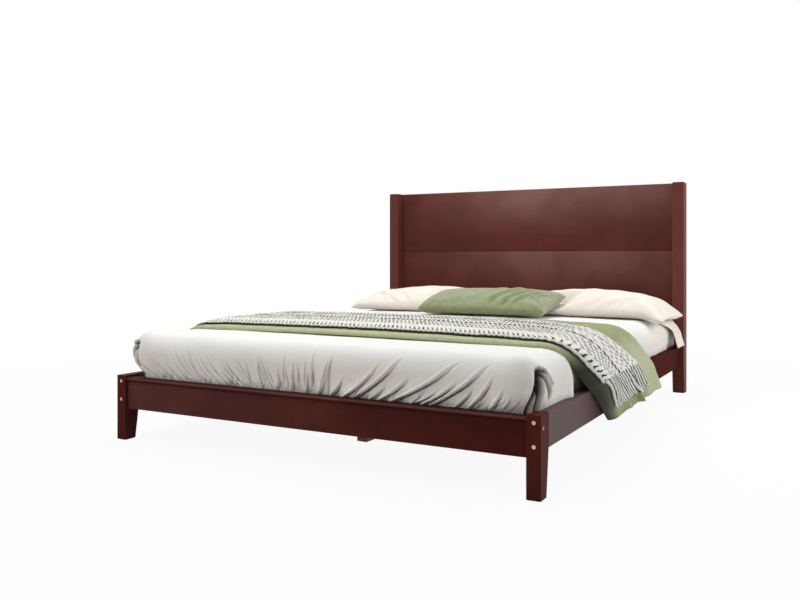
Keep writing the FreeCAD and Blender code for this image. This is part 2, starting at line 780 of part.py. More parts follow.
shoulder_z = mattress_top + COVER_THICKNESS - COVER_SHOULDER_RADIUS
shoulder_reach = COVER_BELLY - COVER_SHOULDER_RADIUS
shoulder_places = []
for angle in SHOULDER_ANGLES:
    turn = math.radians(angle)
    height = shoulder_z + COVER_SHOULDER_RADIUS * math.cos(turn)
    shoulder_places.append((height, shoulder_reach + COVER_SHOULDER_RADIUS * math.sin(turn)))
rail_line = rail_top + COVER_RAIL_LIFT
belly_z = rail_line + (shoulder_places[0][0] - rail_line) * COVER_BELLY_SHARE
sections = [
    cover_section(slat_top + COVER_HEM_LIFT, COVER_TUCK),
    cover_section(rail_line, COVER_TUCK),
    cover_section(belly_z, COVER_BELLY),
]
sections += [cover_section(height, reach) for height, reach in shoulder_places]
crown_flat = rounded_rectangle(
    mattress_half - COVER_CROWN_INSET,
    mattress_foot_y + COVER_CROWN_INSET,
    mattress_head_y - COVER_CROWN_INSET,
    COVER_SHOULDER_RADIUS,
    cover_top,
)
sections.append(crown_flat)
parts["mattress"] = mattress_form(0, 0)
cover_body = Part.makeLoft(sections, True, True)
parts["bed_cover"] = cover_body.cut(mattress_form(SOFT_GAP, CUT_OVERRUN))


# Throws: thin sheets that follow stations over the bed, down both sides, and fold at the hem
drape_radius = COVER_SHOULDER_RADIUS + DRAPE_SLACK
hang_x = max(rail_out_at(blanket_front_y), rail_out_at(blanket_back_y + BLANKET_BACK_SWEEP))


def drape_section(x, z, angle, front, back, lift, thickness, fold_depth):
    """One closed strip of the sheet: its inner and outer faces, with folds where it hangs."""
    turn = math.radians(angle)
    out = Vector(math.sin(turn), 0, math.cos(turn))
    step = (back - front) / DRAPE_FOLDS
    base = Vector(x, 0, z)

    def row(offset, order):
        edges = []
        for i in order:
            y0, y1 = front + step * i, front + step * (i + 1)
            start, end = base + out * offset + Y_AXIS * y0, base + out * offset + Y_AXIS * y1
            middle = (start + end) / 2 + out * (fold_depth * (i % 2))
            edges.append(arc(start, middle, end) if fold_depth and i % 2 else line(start, end))
        return edges

    inner = row(lift, range(DRAPE_FOLDS))
    outer = row(lift + thickness, range(DRAPE_FOLDS))
    first_end = line(base + out * lift + Y_AXIS * back, base + out * (lift + thickness) + Y_AXIS * back)
    last_end = line(base + out * (lift + thickness) + Y_AXIS * front, base + out * lift + Y_AXIS * front)
    return Part.Wire(Part.__sortEdges__(inner + [first_end] + outer + [last_end]))


def throw(front, back, lift, thickness, front_sweep, back_sweep, drop, fold_height, fold_depth):
    """A throw across the bed whose right-hand end is swept towards the head as it hangs."""
    flat_x = hang_x + SOFT_GAP - drape_radius
    arc_z = cover_top + SOFT_GAP - drape_radius
    hem = cover_top - drop
    fold_start = hem + fold_height
    side = []
    for angle, share in zip(DRAPE_ANGLES, DRAPE_SWEEP_SHARES):
        side.append((flat_x, arc_z, angle, share, drape_radius + lift, 0))
    side.append((flat_x, fold_start, 90, None, drape_radius + lift, 0))
    side.append((flat_x, hem, 90, 1, drape_radius + lift, fold_depth))
    last_share = DRAPE_SWEEP_SHARES[-1]
    fold_share = last_share + (1 - last_share) * (arc_z - fold_start) / (arc_z - hem)
    sections = []
    for hand in (-1, 1):
        run = []
        for x, z, angle, share, out, fold in side:
            share = fold_share if share is None else share
            swept = share if hand > 0 else 0
            run.append(
                drape_section(
                    hand * x,
                    z,
                    hand * angle,
                    front + front_sweep * swept,
                    back + back_sweep * swept,
                    out,
                    thickness,
                    fold,
                )
            )
        sections += run if hand > 0 else run[::-1]
    return Part.makeLoft(sections, True, True)


parts["throw_blanket"] = throw(
    blanket_front_y,
    blanket_back_y,
    0,
    BLANKET_THICKNESS,
    BLANKET_FRONT_SWEEP,
    BLANKET_BACK_SWEEP,
    BLANKET_DROP,
    BLANKET_FOLD_HEIGHT,
    BLANKET_FOLD_DEPTH,
)
parts["knit_throw"] = throw(
    blanket_front_y + KNIT_FRONT_MARGIN,
    blanket_back_y - KNIT_BACK_MARGIN,
    BLANKET_THICKNESS + SOFT_GAP,
    KNIT_THICKNESS,
    KNIT_FRONT_SWEEP,
    KNIT_BACK_SWEEP,
    KNIT_DROP,
    KNIT_FOLD_HEIGHT,
    KNIT_FOLD_DEPTH,
)


# Pillows: flat where they lie, with drawn-in sides at the seam and a crown above
def pillow(width, depth, height, pinch, swell):
    sections = []
    for level, size, pull, push in zip(
        PILLOW_HEIGHT_SHARES, PILLOW_SIZE_SHARES, PILLOW_PINCH_SHARES, PILLOW_SWELL_SHARES
    ):
        half_x = width / 2 * size
        half_y = depth / 2 * size
        bow = push * swell - pull * pinch
        z = height * level
        corners = [
            Vector(-half_x, -half_y, z),
            Vector(half_x, -half_y, z),
            Vector(half_x, half_y, z),
            Vector(-half_x, half_y, z),
        ]
        middles = [
            Vector(0, -half_y - bow, z),
            Vector(half_x + bow, 0, z),
            Vector(0, half_y + bow, z),
            Vector(-half_x - bow, 0, z),
        ]
        ends = corners[1:] + corners[:1]
        sections.append(Part.Wire([arc(a, m, b) for a, m, b in zip(corners, middles, ends)]))
    return Part.makeLoft(sections, True, False)


def bed_pillow(grow):
    """The right-hand pillow, or a slightly larger one that hollows what leans on it."""
    form = pillow(
        PILLOW_WIDTH + grow * 2,
        PILLOW_DEPTH + grow * 2,
        PILLOW_HEIGHT + grow * 2,
        PILLOW_PINCH,
        PILLOW_SWELL,
    )
    centre_y = pillow_back_y - PILLOW_DEPTH / 2
    form.translate(Vector(PILLOW_SIDE_GAP + PILLOW_WIDTH / 2, centre_y, cover_top + SOFT_GAP - grow))
    return form


parts["pillow_right"] = bed_pillow(0)
parts["pillow_left"] = mirrored(parts["pillow_right"])

accent = pillow(ACCENT_WIDTH, ACCENT_DEPTH, ACCENT_HEIGHT, ACCENT_PINCH, ACCENT_SWELL)
accent.translate(Vector(ACCENT_OFFSET, ACCENT_DEPTH / 2, SOFT_GAP))
accent.rotate(ORIGIN, X_AXIS, ACCENT_TILT)
accent.translate(Vector(0, accent_front_y, cover_top))
parts["accent_pillow"] = accent.cut(both_sides([bed_pillow(SOFT_GAP)]))

for node, shape in parts.items():
    shape.exportStep(f"parts/{node}.step")
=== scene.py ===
import math

import bmesh
import bpy
import numpy as np
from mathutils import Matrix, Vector


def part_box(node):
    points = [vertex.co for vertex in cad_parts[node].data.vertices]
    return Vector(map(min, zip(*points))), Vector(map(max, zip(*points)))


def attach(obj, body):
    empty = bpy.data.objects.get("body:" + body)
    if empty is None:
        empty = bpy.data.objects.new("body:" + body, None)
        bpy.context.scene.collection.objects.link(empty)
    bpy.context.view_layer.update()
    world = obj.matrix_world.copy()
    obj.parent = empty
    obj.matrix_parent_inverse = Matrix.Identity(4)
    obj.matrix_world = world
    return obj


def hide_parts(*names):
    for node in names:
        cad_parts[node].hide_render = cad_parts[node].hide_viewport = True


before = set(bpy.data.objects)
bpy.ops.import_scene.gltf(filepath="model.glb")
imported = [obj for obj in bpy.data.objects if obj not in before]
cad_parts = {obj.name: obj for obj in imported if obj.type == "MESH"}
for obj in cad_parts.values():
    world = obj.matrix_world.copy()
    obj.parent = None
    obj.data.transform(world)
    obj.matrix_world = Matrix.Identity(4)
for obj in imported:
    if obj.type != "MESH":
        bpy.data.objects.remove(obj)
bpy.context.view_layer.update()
scene = bpy.context.scene

# Sizes taken from the frame, in metres
mattress_low, mattress_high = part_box("mattress")
rail_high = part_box("side_rail_right")[1]
foot_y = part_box("foot_leg_right")[0].y
post_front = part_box("headboard_post_right")[0].y
cover_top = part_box("bed_cover")[1].z
slat_top = mattress_low.z
mattress_half = mattress_high.x
mattress_foot = mattress_low.y
mattress_head = mattress_high.y
rail_top = rail_high.z
rail_out = rail_high.x


def smooth(low, high, value):
    """0 below low, 1 above high, and an easy curve between."""
    share = np.clip((value - low) / (high - low), 0, 1)
    return share * share * (3 - 2 * share)


def bump(value, width):
    """1 at zero, falling off on both sides within about that width."""
    return np.exp(-((value / width) ** 2))


def between(first, second, share):
    """The first value at share 0, the second at share 1."""
    return first + (second - first) * share


RIPPLE_WAVES = 6


def ripple(x, y, length, seed):
    """Soft irregular waves of about that length, between -1 and 1."""
    waves = np.random.default_rng(seed)
    total = 0
    for _ in range(RIPPLE_WAVES):
        turn = waves.uniform(0, math.tau)
        pitch = length * waves.uniform(0.7, 1.6)
        run = x * math.cos(turn) + y * math.sin(turn)
        total = total + np.sin(run * math.tau / pitch + waves.uniform(0, math.tau))
    return total / RIPPLE_WAVES


# Meshes
def add_object(name, data):
    made = bpy.data.objects.new(name, data)
    scene.collection.objects.link(made)
    return made


def make_piece(name, points, faces, material, body, cloth=None):
    """A smooth-shaded mesh that rides on a body; cloth holds each point's place on the flat cut."""
    mesh = bpy.data.meshes.new(name)
    mesh.from_pydata(np.asarray(points, float).reshape(-1, 3).tolist(), [], faces)
    mesh.polygons.foreach_set("use_smooth", np.ones(len(mesh.polygons), bool))
    if cloth is not None:
        corner = np.zeros(len(mesh.loops), int)
        mesh.loops.foreach_get("vertex_index", corner)
        layer = mesh.uv_layers.new(name="cloth")
        layer.data.foreach_set("uv", np.asarray(cloth, np.float32).reshape(-1, 2)[corner].ravel())
    mesh.materials.append(material)
    mesh.update()
    piece = add_object(name, mesh)
    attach(piece, body)
    return piece


def paint(piece, name, values):
    """Gives each point of a piece a number that its finish reads."""
    piece.data.attributes.new(name, "FLOAT", "POINT").data.foreach_set("value", values)


def points_of(mesh):
    points = np.zeros(len(mesh.vertices) * 3, np.float32)
    mesh.vertices.foreach_get("co", points)
    return points.reshape(-1, 3)


def grid_faces(rows, columns, wrap=False, start=0):
    """Quads over rows of points; wrap joins each row's end to its start."""
    faces = []
    for r in range(rows - 1):
        for c in range(columns if wrap else columns - 1):
            d = (c + 1) % columns
            a, b = start + r * columns, start + (r + 1) * columns
            faces.append((a + c, a + d, b + d, b + c))
    return faces


def tube(centres, radii, sides, start=0):
    """Points and faces of a closed round tube along a line of centres."""
    centres = np.asarray(centres, float)
    along = np.gradient(centres, axis=0)
    along /= np.linalg.norm(along, axis=1)[:, None]
    across = np.cross(along, (0.0, 1.0, 0.0))
    across /= np.linalg.norm(across, axis=1)[:, None]
    up = np.cross(along, across)
    turn = np.linspace(0, math.tau, sides, endpoint=False)
    radii = np.broadcast_to(radii, (len(centres), sides))[..., None]
    ring = across[:, None] * np.cos(turn)[None, :, None] + up[:, None] * np.sin(turn)[None, :, None]
    faces = grid_faces(len(centres), sides, True, start)
    faces.append(tuple(start + i for i in reversed(range(sides))))
    faces.append(tuple(start + (len(centres) - 1) * sides + i for i in range(sides)))
    return (centres[:, None] + ring * radii).reshape(-1, 3), faces


# Finishes
class Wire:
    """A node's output; sums written with it add Math nodes."""

    def __init__(self, finish, socket):
        self.finish = finish
        self.socket = socket

    def __add__(self, other):
        return self.finish.maths("ADD", self, other)

    __radd__ = __add__

    def __sub__(self, other):
        return self.finish.maths("SUBTRACT", self, other)

    def __rsub__(self, other):
        return self.finish.maths("SUBTRACT", other, self)

    def __mul__(self, other):
        return self.finish.maths("MULTIPLY", self, other)

    __rmul__ = __mul__

    def __truediv__(self, other):
        return self.finish.maths("DIVIDE", self, other)

    def __pow__(self, other):
        return self.finish.maths("POWER", self, other)

    def __gt__(self, other):
        return self.finish.maths("GREATER_THAN", self, other)

    def __lt__(self, other):
        return self.finish.maths("LESS_THAN", self, other)

    def __abs__(self):
        return self.finish.maths("ABSOLUTE", self)


class Finish:
    """One material, or the world, with a method that makes any node in it."""

    def __init__(self, name, owner=None):
        self.material = owner or bpy.data.materials.new(name)
        self.material.use_nodes = True
        self.tree = self.material.node_tree
        self.surface = self.tree.nodes.get("Principled BSDF") or self.tree.nodes["Background"]

    def feed(self, socket, value):
        if isinstance(value, Wire):
            self.tree.links.new(value.socket, socket)
        elif isinstance(value, tuple) and len(value) == 3 and socket.type == "RGBA":
            socket.default_value = (*value, 1)
        else:
            socket.default_value = value

    def node(self, kind, settings=None, inputs=None, output=0):
        made = self.tree.nodes.new("ShaderNode" + kind)
        for key, value in (settings or {}).items():
            setattr(made, key, value)
        for key, value in (inputs or {}).items():
            self.feed(made.inputs[key], value)
        if isinstance(output, tuple):
            return [Wire(self, made.outputs[key]) for key in output]
        return Wire(self, made.outputs[output])

    def maths(self, operation, first, second=0):
        return self.node("Math", {"operation": operation}, {0: first, 1: second})

    def place(self, scale=(1, 1, 1)):
        """Where a point is on the piece, in metres, stretched by a scale."""
        spot = self.node("TexCoord", output="Object")
        return self.node("VectorMath", {"operation": "MULTIPLY"}, {0: spot, 1: scale})

    def axes(self, spot=None):
        """The three distances of a spot, or of where a point is on the piece."""
        return self.node("SeparateXYZ", None, {0: spot or self.place()}, (0, 1, 2))

    def cloth(self):
        """Distances across and along the flat cut, in metres."""
        return self.axes(self.node("UVMap", {"uv_map": "cloth"}))[:2]

    def seen(self):
        """1 for what the eye, a mirror or a glass shows, 0 for light that falls on things."""
        rays = self.node("LightPath", None, None, ("Is Camera Ray", "Is Glossy Ray", "Is Transmission Ray"))
        return rays[0] + rays[1] + rays[2]

    def painted(self, name):
        """The number that each point of the piece was given by that name."""
        return self.node("Attribute", {"attribute_name": name}, None, "Fac")

    def noise(self, scale, detail=3.0, roughness=0.5, distortion=0.0, stretch=(1, 1, 1)):
        values = {
            "Vector": self.place(stretch),
            "Scale": scale,
            "Detail": detail,
            "Roughness": roughness,
            "Distortion": distortion,
        }
        return self.node("TexNoise", None, values)

    def spread(self, value, low, high):
        """The part of a value between low and high, as 0 to 1."""
        values = {"Value": value, "From Min": low, "From Max": high}
        return self.node("MapRange", {"interpolation_type": "SMOOTHSTEP"}, values)

    def mix(self, share, first, second):
        return self.node("Mix", {"data_type": "RGBA"}, {0: share, 6: first, 7: second}, 2)

    def wave(self, value, pitch):
        """A sine of a distance, from -1 to 1."""
        return self.maths("SINE", value * (math.tau / pitch))

    def height(self, value, depth, strength=1.0):
        """Adds a relief of that depth in metres, and returns the finished material."""
        values = {"Strength": strength, "Distance": depth, "Height": value}
        return self.set(Normal=self.node("Bump", None, values))

    def set(self, **inputs):
        for key, value in inputs.items():
            self.feed(self.surface.inputs[key.replace("_", " ")], value)
        return self.material


# Pale stain for the haze, and the colour of the painted highlights on the wood
PALE_STAIN_AND_HIGHLIGHT = (0.235, 0.118, 0.100)
# Grey of the painted reflection on the side rails
PAINTED_REFLECTION_GREY = (0.200, 0.172, 0.162)
# Grain drawn out across the bed, along it or upright
GRAIN_ACROSS, GRAIN_ALONG, GRAIN_UP = (0.10, 1, 1), (1, 0.10, 1), (1, 1, 0.10)


def cherry_wood(name, scale, tone=1.0, haze=0.0, sheen=None, gloss=1.07):
    """Deep cherry stain under satin lacquer, with grain drawn out along the piece.

    Haze pales all of it; a sheen is painted light, a share of a paler colour from place to place.
    """
    f = Finish(name)

    def shade(*colour):
        return tuple(tone * c for c in colour)

    grain = f.noise(9.0, 6.0, 0.62, 0.6, scale)
    pores = f.noise(30.0, stretch=tuple(3 * s for s in scale))
    cloud = f.spread(f.noise(4.5, 3.0, 0.55), 0.32, 0.72)
    stain = f.mix(cloud, shade(0.074, 0.0115, 0.0088), shade(0.122, 0.0195, 0.0145))
    stain = f.mix(f.spread(grain, 0.42, 0.78) * 0.45, stain, shade(0.052, 0.0080, 0.0065))
    stain = f.mix(f.spread(pores, 0.62, 0.74) * 0.30, stain, shade(0.030, 0.0055, 0.0050))
    stain = f.mix(haze, stain, PALE_STAIN_AND_HIGHLIGHT)
    # Painted light mixed into the stain
    if sheen is not None:
        share, colour = sheen(f, cloud)
        stain = f.mix(share, stain, colour)
    f.set(Base_Color=stain, Roughness=0.36 + grain * 0.10 + cloud * 0.05)
    f.set(IOR=gloss, Coat_Weight=0.01, Coat_Roughness=0.25)
    return f.height(grain * 0.7 + pores * 0.3, 0.0004, 0.35)


def board_painted_highlight(node, strength):
    """Painted highlight, paler towards the top of a headboard board and right of its middle."""
    low, high = (v.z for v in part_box(node))

    def share(f, cloud):
        across, _, rise = f.axes()
        glow = f.spread(rise, low, high) ** 1.5 * f.spread(across, -0.85, 0.10)
        glow = glow * (1 - f.spread(across, 0.15, 0.95) * 0.45) * (0.75 + cloud * 0.5)
        return glow * strength, PALE_STAIN_AND_HIGHLIGHT

    return share


def painted_end_light(axis, start, end, least, cloudy, colour):
    """Painted light, paler from a start to an end along an axis: 0 across the bed, 1 along it."""

    def share(f, cloud):
        return f.spread(f.axes()[axis], start, end) * (least + cloud * cloudy), colour

    return share


def cap_painted_highlight(f, cloud):
    """Painted highlight along the upper half of the cap's round nose."""
    low, high = (v.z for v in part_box("foot_rail_cap"))
    _, _, rise = f.axes()
    share = (rise - low) / (high - low)
    band = f.spread(share, 0.34, 0.50) * f.spread(share, 0.98, 0.78)
    return band * (0.30 + cloud * 0.10), PALE_STAIN_AND_HIGHLIGHT


def plain_wood(name, scale):
    """Pale unfinished softwood with darker growth lines."""
    f = Finish(name)
    rings = f.noise(10.0, 4.0, 0.6, 1.2, scale)
    fibre = f.noise(40.0, 2.0, stretch=tuple(4 * s for s in scale))
    tone = f.mix(f.spread(rings, 0.35, 0.7), (0.56, 0.39, 0.22), (0.42, 0.25, 0.12))
    tone = f.mix(fibre * 0.3, tone, (0.62, 0.47, 0.29))
    f.set(Base_Color=tone, Roughness=0.62 + fibre * 0.15)
    return f.height(rings * 0.5 + fibre * 0.5, 0.0006, 0.4)


def centre_leg_wood():
    """Brown sawn wood of the legs under the beam."""
    f = Finish("brown_wood")
    rings = f.noise(26.0, 4.0, 0.6, 0.8, (1, 1, 0.12))
    tone = f.mix(f.spread(rings, 0.35, 0.7), (0.33, 0.18, 0.085), (0.20, 0.10, 0.045))
    f.set(Base_Color=tone, Roughness=0.5 + rings * 0.2)
    return f.height(rings, 0.0006, 0.4)


def metal(name, bright, dull, roughness):
    """Turned metal with a faint brushed variation."""
    f = Finish(name)
    haze = f.noise(60.0, 3.0)
    f.set(Base_Color=f.mix(haze, bright, dull), Roughness=roughness + haze * 0.15, Metallic=1.0)
    return f.height(f.noise(500.0, 1.0, stretch=(1, 1, 6)), 0.0001, 0.3)


def felt_pad():
    f = Finish("felt")
    fluff = f.noise(420.0, 4.0, 0.7)
    f.set(Base_Color=f.mix(fluff, (0.035, 0.030, 0.028), (0.10, 0.09, 0.085)), Roughness=0.95)
    return f.height(fluff, 0.0008, 0.8)


def woven(name, light, dark, thread, slub, sheen, roughness=0.85, mottle=0.0, shade=None):
    """Plain cloth: crossing threads of a pitch, with slubs that vary the tone."""
    f = Finish(name)
    x, y, z = f.axes()
    warp = f.wave(x + z * 0.37, thread)
    weft = f.wave(y + z * 0.83, thread)
    threads = warp * weft * 0.5 + 0.5
    patch = f.noise(26.0, 4.0, 0.65)
    streak = f.noise(70.0, 3.0, 0.6, stretch=(1, 9, 5))
    tone = f.spread(patch * 0.55 + streak * 0.45, 0.5 - slub, 0.5 + slub)
    colour = f.mix(tone, dark, light)
    colour = f.mix(f.spread(f.noise(75.0, 4.0, 0.75), 0.40, 0.62) * mottle, colour, dark)
    colour = f.mix(threads * 0.16, colour, dark)
    if shade is not None:
        colour = shade(f, colour)
    f.set(Base_Color=colour, Roughness=roughness)
    f.set(Sheen_Weight=sheen, Sheen_Roughness=0.5)
    return f.height(threads * 0.5 + streak * 0.3 + patch * mottle * 2.0, thread * 0.35, 0.5)


def cover_shade(f, colour):
    """Painted shade, warmer, on the cover's sides below the shoulder, painted light lower down, and painted
    shade, near black, in its creases and pleats.
    """
    _, _, rise = f.axes()
    colour = f.mix(f.spread(rise, 0.375, 0.295) * 0.85, colour, (0.745, 0.692, 0.622))
    colour = f.mix(f.spread(rise, 0.285, 0.235) * 0.90, colour, (0.900, 0.865, 0.820))
    # Painted shade, near black, from each point's crease shade
    return f.mix(f.painted("crease_shade"), colour, (0.022, 0.020, 0.019))


def blanket_shade(f, colour):
    """Painted light on the front fold of the level part and the hanging back edge; painted shade, near
    black, where the hanging front turns in.
    """
    across, along = f.cloth()
    hang = f.spread(abs(across), 0.735, 0.820)
    colour = f.mix((1 - hang) * f.spread(along, 0.060, 0.025) * 0.45, colour, (0.560, 0.590, 0.360))
    colour = f.mix(hang * f.spread(along, 0.45, 0.75) * 0.55, colour, (0.530, 0.560, 0.375))
    # Painted shade on the hanging front edge
    painted_edge_shade = hang * f.spread(along, 0.110, 0.006)
    return f.mix(painted_edge_shade * 0.95, colour, (0.015, 0.019, 0.008))


STRIPE_PITCH = 0.030
STRIPE_GAP = 0.008


def ticking():
    """Striped mattress cloth, seen from below between the slats."""
    f = Finish("ticking")
    across, _, _ = f.axes()
    weave = f.noise(900.0, 2.0)
    wide = f.spread(f.wave(across, STRIPE_PITCH), 0.72, 0.92)
    thin = f.spread(f.wave(across + STRIPE_GAP, STRIPE_PITCH), 0.93, 0.99)
    stripe = wide + thin
    f.set(Base_Color=f.mix(stripe * 0.8, (0.74, 0.72, 0.67), (0.26, 0.29, 0.34)), Roughness=0.85)
    return f.height(weave, 0.0005, 0.5)


def speckled_knit():
    """Off-white chunky knit with rows of dark marks that follow its length."""
    f = Finish("speckled_knit")
    across, along = f.cloth()
    level_part = f.spread(abs(across), 0.76, 0.64)
    across = across + (f.noise(70.0, 2.0) - 0.5) * 0.012
    along = along + (f.noise(60.0, 2.0, stretch=(1.3, 0.8, 1)) - 0.5) * 0.012
    hanging_part = 1 - level_part
    lean = level_part * 0.55

    def part(value, pitch, shift=0.0):
        """How far a distance has come through its present step, from -0.5 to 0.5."""
        return f.maths("FRACT", value / pitch + shift + 80) - 0.5

    def flecks(pitch, row, length, width, low, high):
        """Staggered short slanting dashes between two distances from the front edge."""
        count = f.maths("FLOOR", along / row)
        odd = f.maths("MODULO", count, 2)
        level = part(along, row)
        step = part(across + level * row * lean, pitch, odd * 0.5)
        near = f.spread(abs(step + level * hanging_part * 0.3) * pitch, length * 0.55, length * 0.40)
        near = near * f.spread(abs(level) * row, width * 0.60, width * 0.35)
        return near * f.spread(along, low - 0.002, low) * f.spread(along, high + 0.002, high)

    def dashes(centre, pitch, length, width):
        """One row of slanting dashes, wider on the level part of the throw."""
        reach = width * (1 + level_part * 0.6)
        near = f.spread(abs(along - centre), reach * 0.60, reach * 0.36)
        step = part(across + (along - centre) * 0.5, pitch)
        return near * f.spread(abs(step) * pitch, length * 0.55, length * 0.42)

    def teeth(low, high, pitch):
        """A row of dark triangles that stand on one line."""
        fall = 1 - f.node("MapRange", None, {"Value": along, "From Min": low, "From Max": high})
        inside = f.spread(fall * 0.24 + 0.02 - abs(part(across + (along - low) * lean, pitch)), -0.05, 0.05)
        return inside * (along > low) * (along < high)

    def most(first, second):
        return f.maths("MAXIMUM", first, second)

    grey = flecks(0.0175, 0.0260, 0.0105, 0.0150, 0.062, 0.215) * hanging_part
    grey = most(grey, flecks(0.0165, 0.0400, 0.0105, 0.0280, 0.070, 0.215) * level_part)
    grey = most(grey, flecks(0.0170, 0.0400, 0.0105, 0.0270, 0.270, 0.465) * level_part)
    dark = most(teeth(0.003, 0.046, 0.0175), dashes(0.240, 0.0190, 0.0135, 0.0280))
    dark = most(dark, dashes(0.372, 0.0165, 0.0125, 0.0120))
    sparse = flecks(0.0260, 0.0300, 0.0120, 0.0140, 0.272, 0.352)
    back = flecks(0.0250, 0.0280, 0.0120, 0.0140, 0.392, 0.470)
    dark = most(dark, most(sparse, back) * hanging_part * 0.70)
    fuzz = f.noise(700.0, 3.0, 0.7)
    wool = f.mix(f.noise(60.0, 2.0), (0.83, 0.81, 0.76), (0.71, 0.69, 0.63))
    # Painted shade: the wool is darker on the level part than where it hangs
    wool = f.mix(level_part * 0.45, wool, (0.600, 0.585, 0.530))
    colour = f.mix(grey * 0.94, wool, (0.060, 0.060, 0.053))
    f.set(Base_Color=f.mix(dark, colour, (0.010, 0.011, 0.009)), Roughness=1.0)
    return f.height(fuzz - dark * 0.5, 0.0009, 0.6)


def fringe_yarn():
    """Twisted yarn, white or charcoal by strand."""
    f = Finish("fringe_yarn")
    tone = f.painted("tone")
    ply = f.noise(420.0, 3.0, 0.6, stretch=(1, 1, 0.4))
    white = f.mix(ply, (0.84, 0.82, 0.77), (0.62, 0.60, 0.54))
    f.set(Base_Color=f.mix(tone, white, (0.028, 0.029, 0.026)), Roughness=0.9)
    return f.height(ply, 0.0009, 0.7)


# Painted light on the foot rail, paler towards its left end
foot_painted_light = painted_end_light(0, 0.75, -0.80, 0.17, 0.08, PALE_STAIN_AND_HIGHLIGHT)
# Painted reflection on the side rails, pale grey towards the foot end
rail_painted_reflection = painted_end_light(1, foot_y + 0.85, foot_y + 0.15, 0.62, 0.18, PAINTED_REFLECTION_GREY)
# Painted highlights on the headboard boards
lower_painted_highlight = board_painted_highlight("headboard_lower_board", 0.54)
upper_painted_highlight = board_painted_highlight("headboard_upper_board", 0.88)
cherry_foot = cherry_wood("cherry_foot_rail", GRAIN_ACROSS, 0.72, 0.02, foot_painted_light)
# The cap's darker copy of the stain is painted shade for its underside; its paler band is a painted
# highlight
cherry_cap = cherry_wood("cherry_foot_rail_cap", GRAIN_ACROSS, 0.50, 0.0, cap_painted_highlight)
cherry_leg = cherry_wood("cherry_legs", GRAIN_UP, 0.80, 0.035)
cherry_rail = cherry_wood("cherry_side_rails", GRAIN_ALONG, 0.62, 0.0, rail_painted_reflection, 1.015)
cherry_post = cherry_wood("cherry_posts", GRAIN_UP, 1.12, 0.27)
lower_board = cherry_wood("cherry_lower_board", GRAIN_ACROSS, 0.94, 0.15, lower_painted_highlight)
upper_board = cherry_wood("cherry_upper_board", GRAIN_ACROSS, 0.94, 0.15, upper_painted_highlight)
slat_wood = plain_wood("slat_wood", (0.12, 1, 1))
beam_wood = plain_wood("beam_wood", (1, 0.12, 1))
brown_wood = centre_leg_wood()
brass = metal("brass", (0.74, 0.58, 0.34), (0.50, 0.37, 0.19), 0.28)
steel = metal("steel", (0.62, 0.62, 0.63), (0.42, 0.42, 0.43), 0.30)
felt = felt_pad()
mattress_cloth = ticking()
white_cotton = woven(
    "white_cotton", (0.82, 0.810, 0.785), (0.76, 0.750, 0.725), 0.0011, 0.35, 0.15, shade=cover_shade,
)
cream_cotton = woven("cream_cotton", (0.86, 0.79, 0.715), (0.80, 0.72, 0.64), 0.0012, 0.35, 0.2)
green_weave = woven(
    "green_weave", (0.395, 0.432, 0.220), (0.172, 0.202, 0.084), 0.0023, 0.22, 0.04,
    mottle=0.75, shade=blanket_shade,
)
green_satin = woven("green_satin", (0.265, 0.300, 0.130), (0.140, 0.165, 0.060), 0.0013, 0.30, 0.55, 0.55)
knit_wool = speckled_knit()
yarn = fringe_yarn()

finishes = {
    "foot_leg": cherry_leg,
    "headboard_post": cherry_post,
    "headboard_lower_board": lower_board,
    "headboard_upper_board": upper_board,
    "side_rail_bolts": brass,
    "side_rail": cherry_rail,
    "foot_rail_bolts": brass,
    "foot_rail_cap": cherry_cap,
    "foot_rail": cherry_foot,
    "head_rail": cherry_foot,
    "headboard_bolts": brass,
    "slat_ledger": beam_wood,
    "slat_screws": steel,
    "slat_": slat_wood,
    "centre_beam": beam_wood,
    "centre_leg_studs": steel,
    "centre_leg": brown_wood,
    "beam_hanger": steel,
    "leg_glides": felt,
    "barrel_nuts": steel,
    "dowels": slat_wood,
    "ledger_screws": steel,
    "hanger_screws": steel,
}
for node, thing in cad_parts.items():
    for start, finish in finishes.items():
        if node.startswith(start):
            thing.data.materials.clear()
            thing.data.materials.append(finish)
            break

# The mattress's outline: places, outward directions and the distance from the middle of the foot
CORNER_RADIUS = 0.108
FOOT_STEPS, CORNER_STEPS, SIDE_STEPS, HEAD_STEPS = 560, 130, 170, 40
corner_in = mattress_half - CORNER_RADIUS
corner_middle = corner_in + CORNER_RADIUS * math.pi / 4


def half_outline():
    """The right half, from the middle of the foot round to the middle of the head."""
    foot_in = mattress_foot + CORNER_RADIUS
    head_in = mattress_head - CORNER_RADIUS
    foot = np.linspace(0, corner_in, FOOT_STEPS, endpoint=False)
    turn = np.linspace(0, math.pi / 2, CORNER_STEPS, endpoint=False)
    side = np.linspace(foot_in, head_in, SIDE_STEPS, endpoint=False)
    head = np.linspace(corner_in, 0, HEAD_STEPS)
    sin, cos = np.sin(turn), np.cos(turn)
    arc_x, arc_y = CORNER_RADIUS * sin, CORNER_RADIUS * cos
    x = np.concatenate([foot, corner_in + arc_x, side * 0 + mattress_half, corner_in + arc_y, head])
    foot_edge, head_edge = foot * 0 + mattress_foot, head * 0 + mattress_head
    y = np.concatenate([foot_edge, foot_in - arc_y, side, head_in + arc_x, head_edge])
    out_x = np.concatenate([foot * 0, sin, side * 0 + 1, cos, head * 0])
    out_y = np.concatenate([foot * 0 - 1, -cos, side * 0, sin, head * 0 + 1])
    along = np.concatenate([[0], np.cumsum(np.hypot(np.diff(x), np.diff(y)))])
    return np.stack([x, y, out_x, out_y, along])


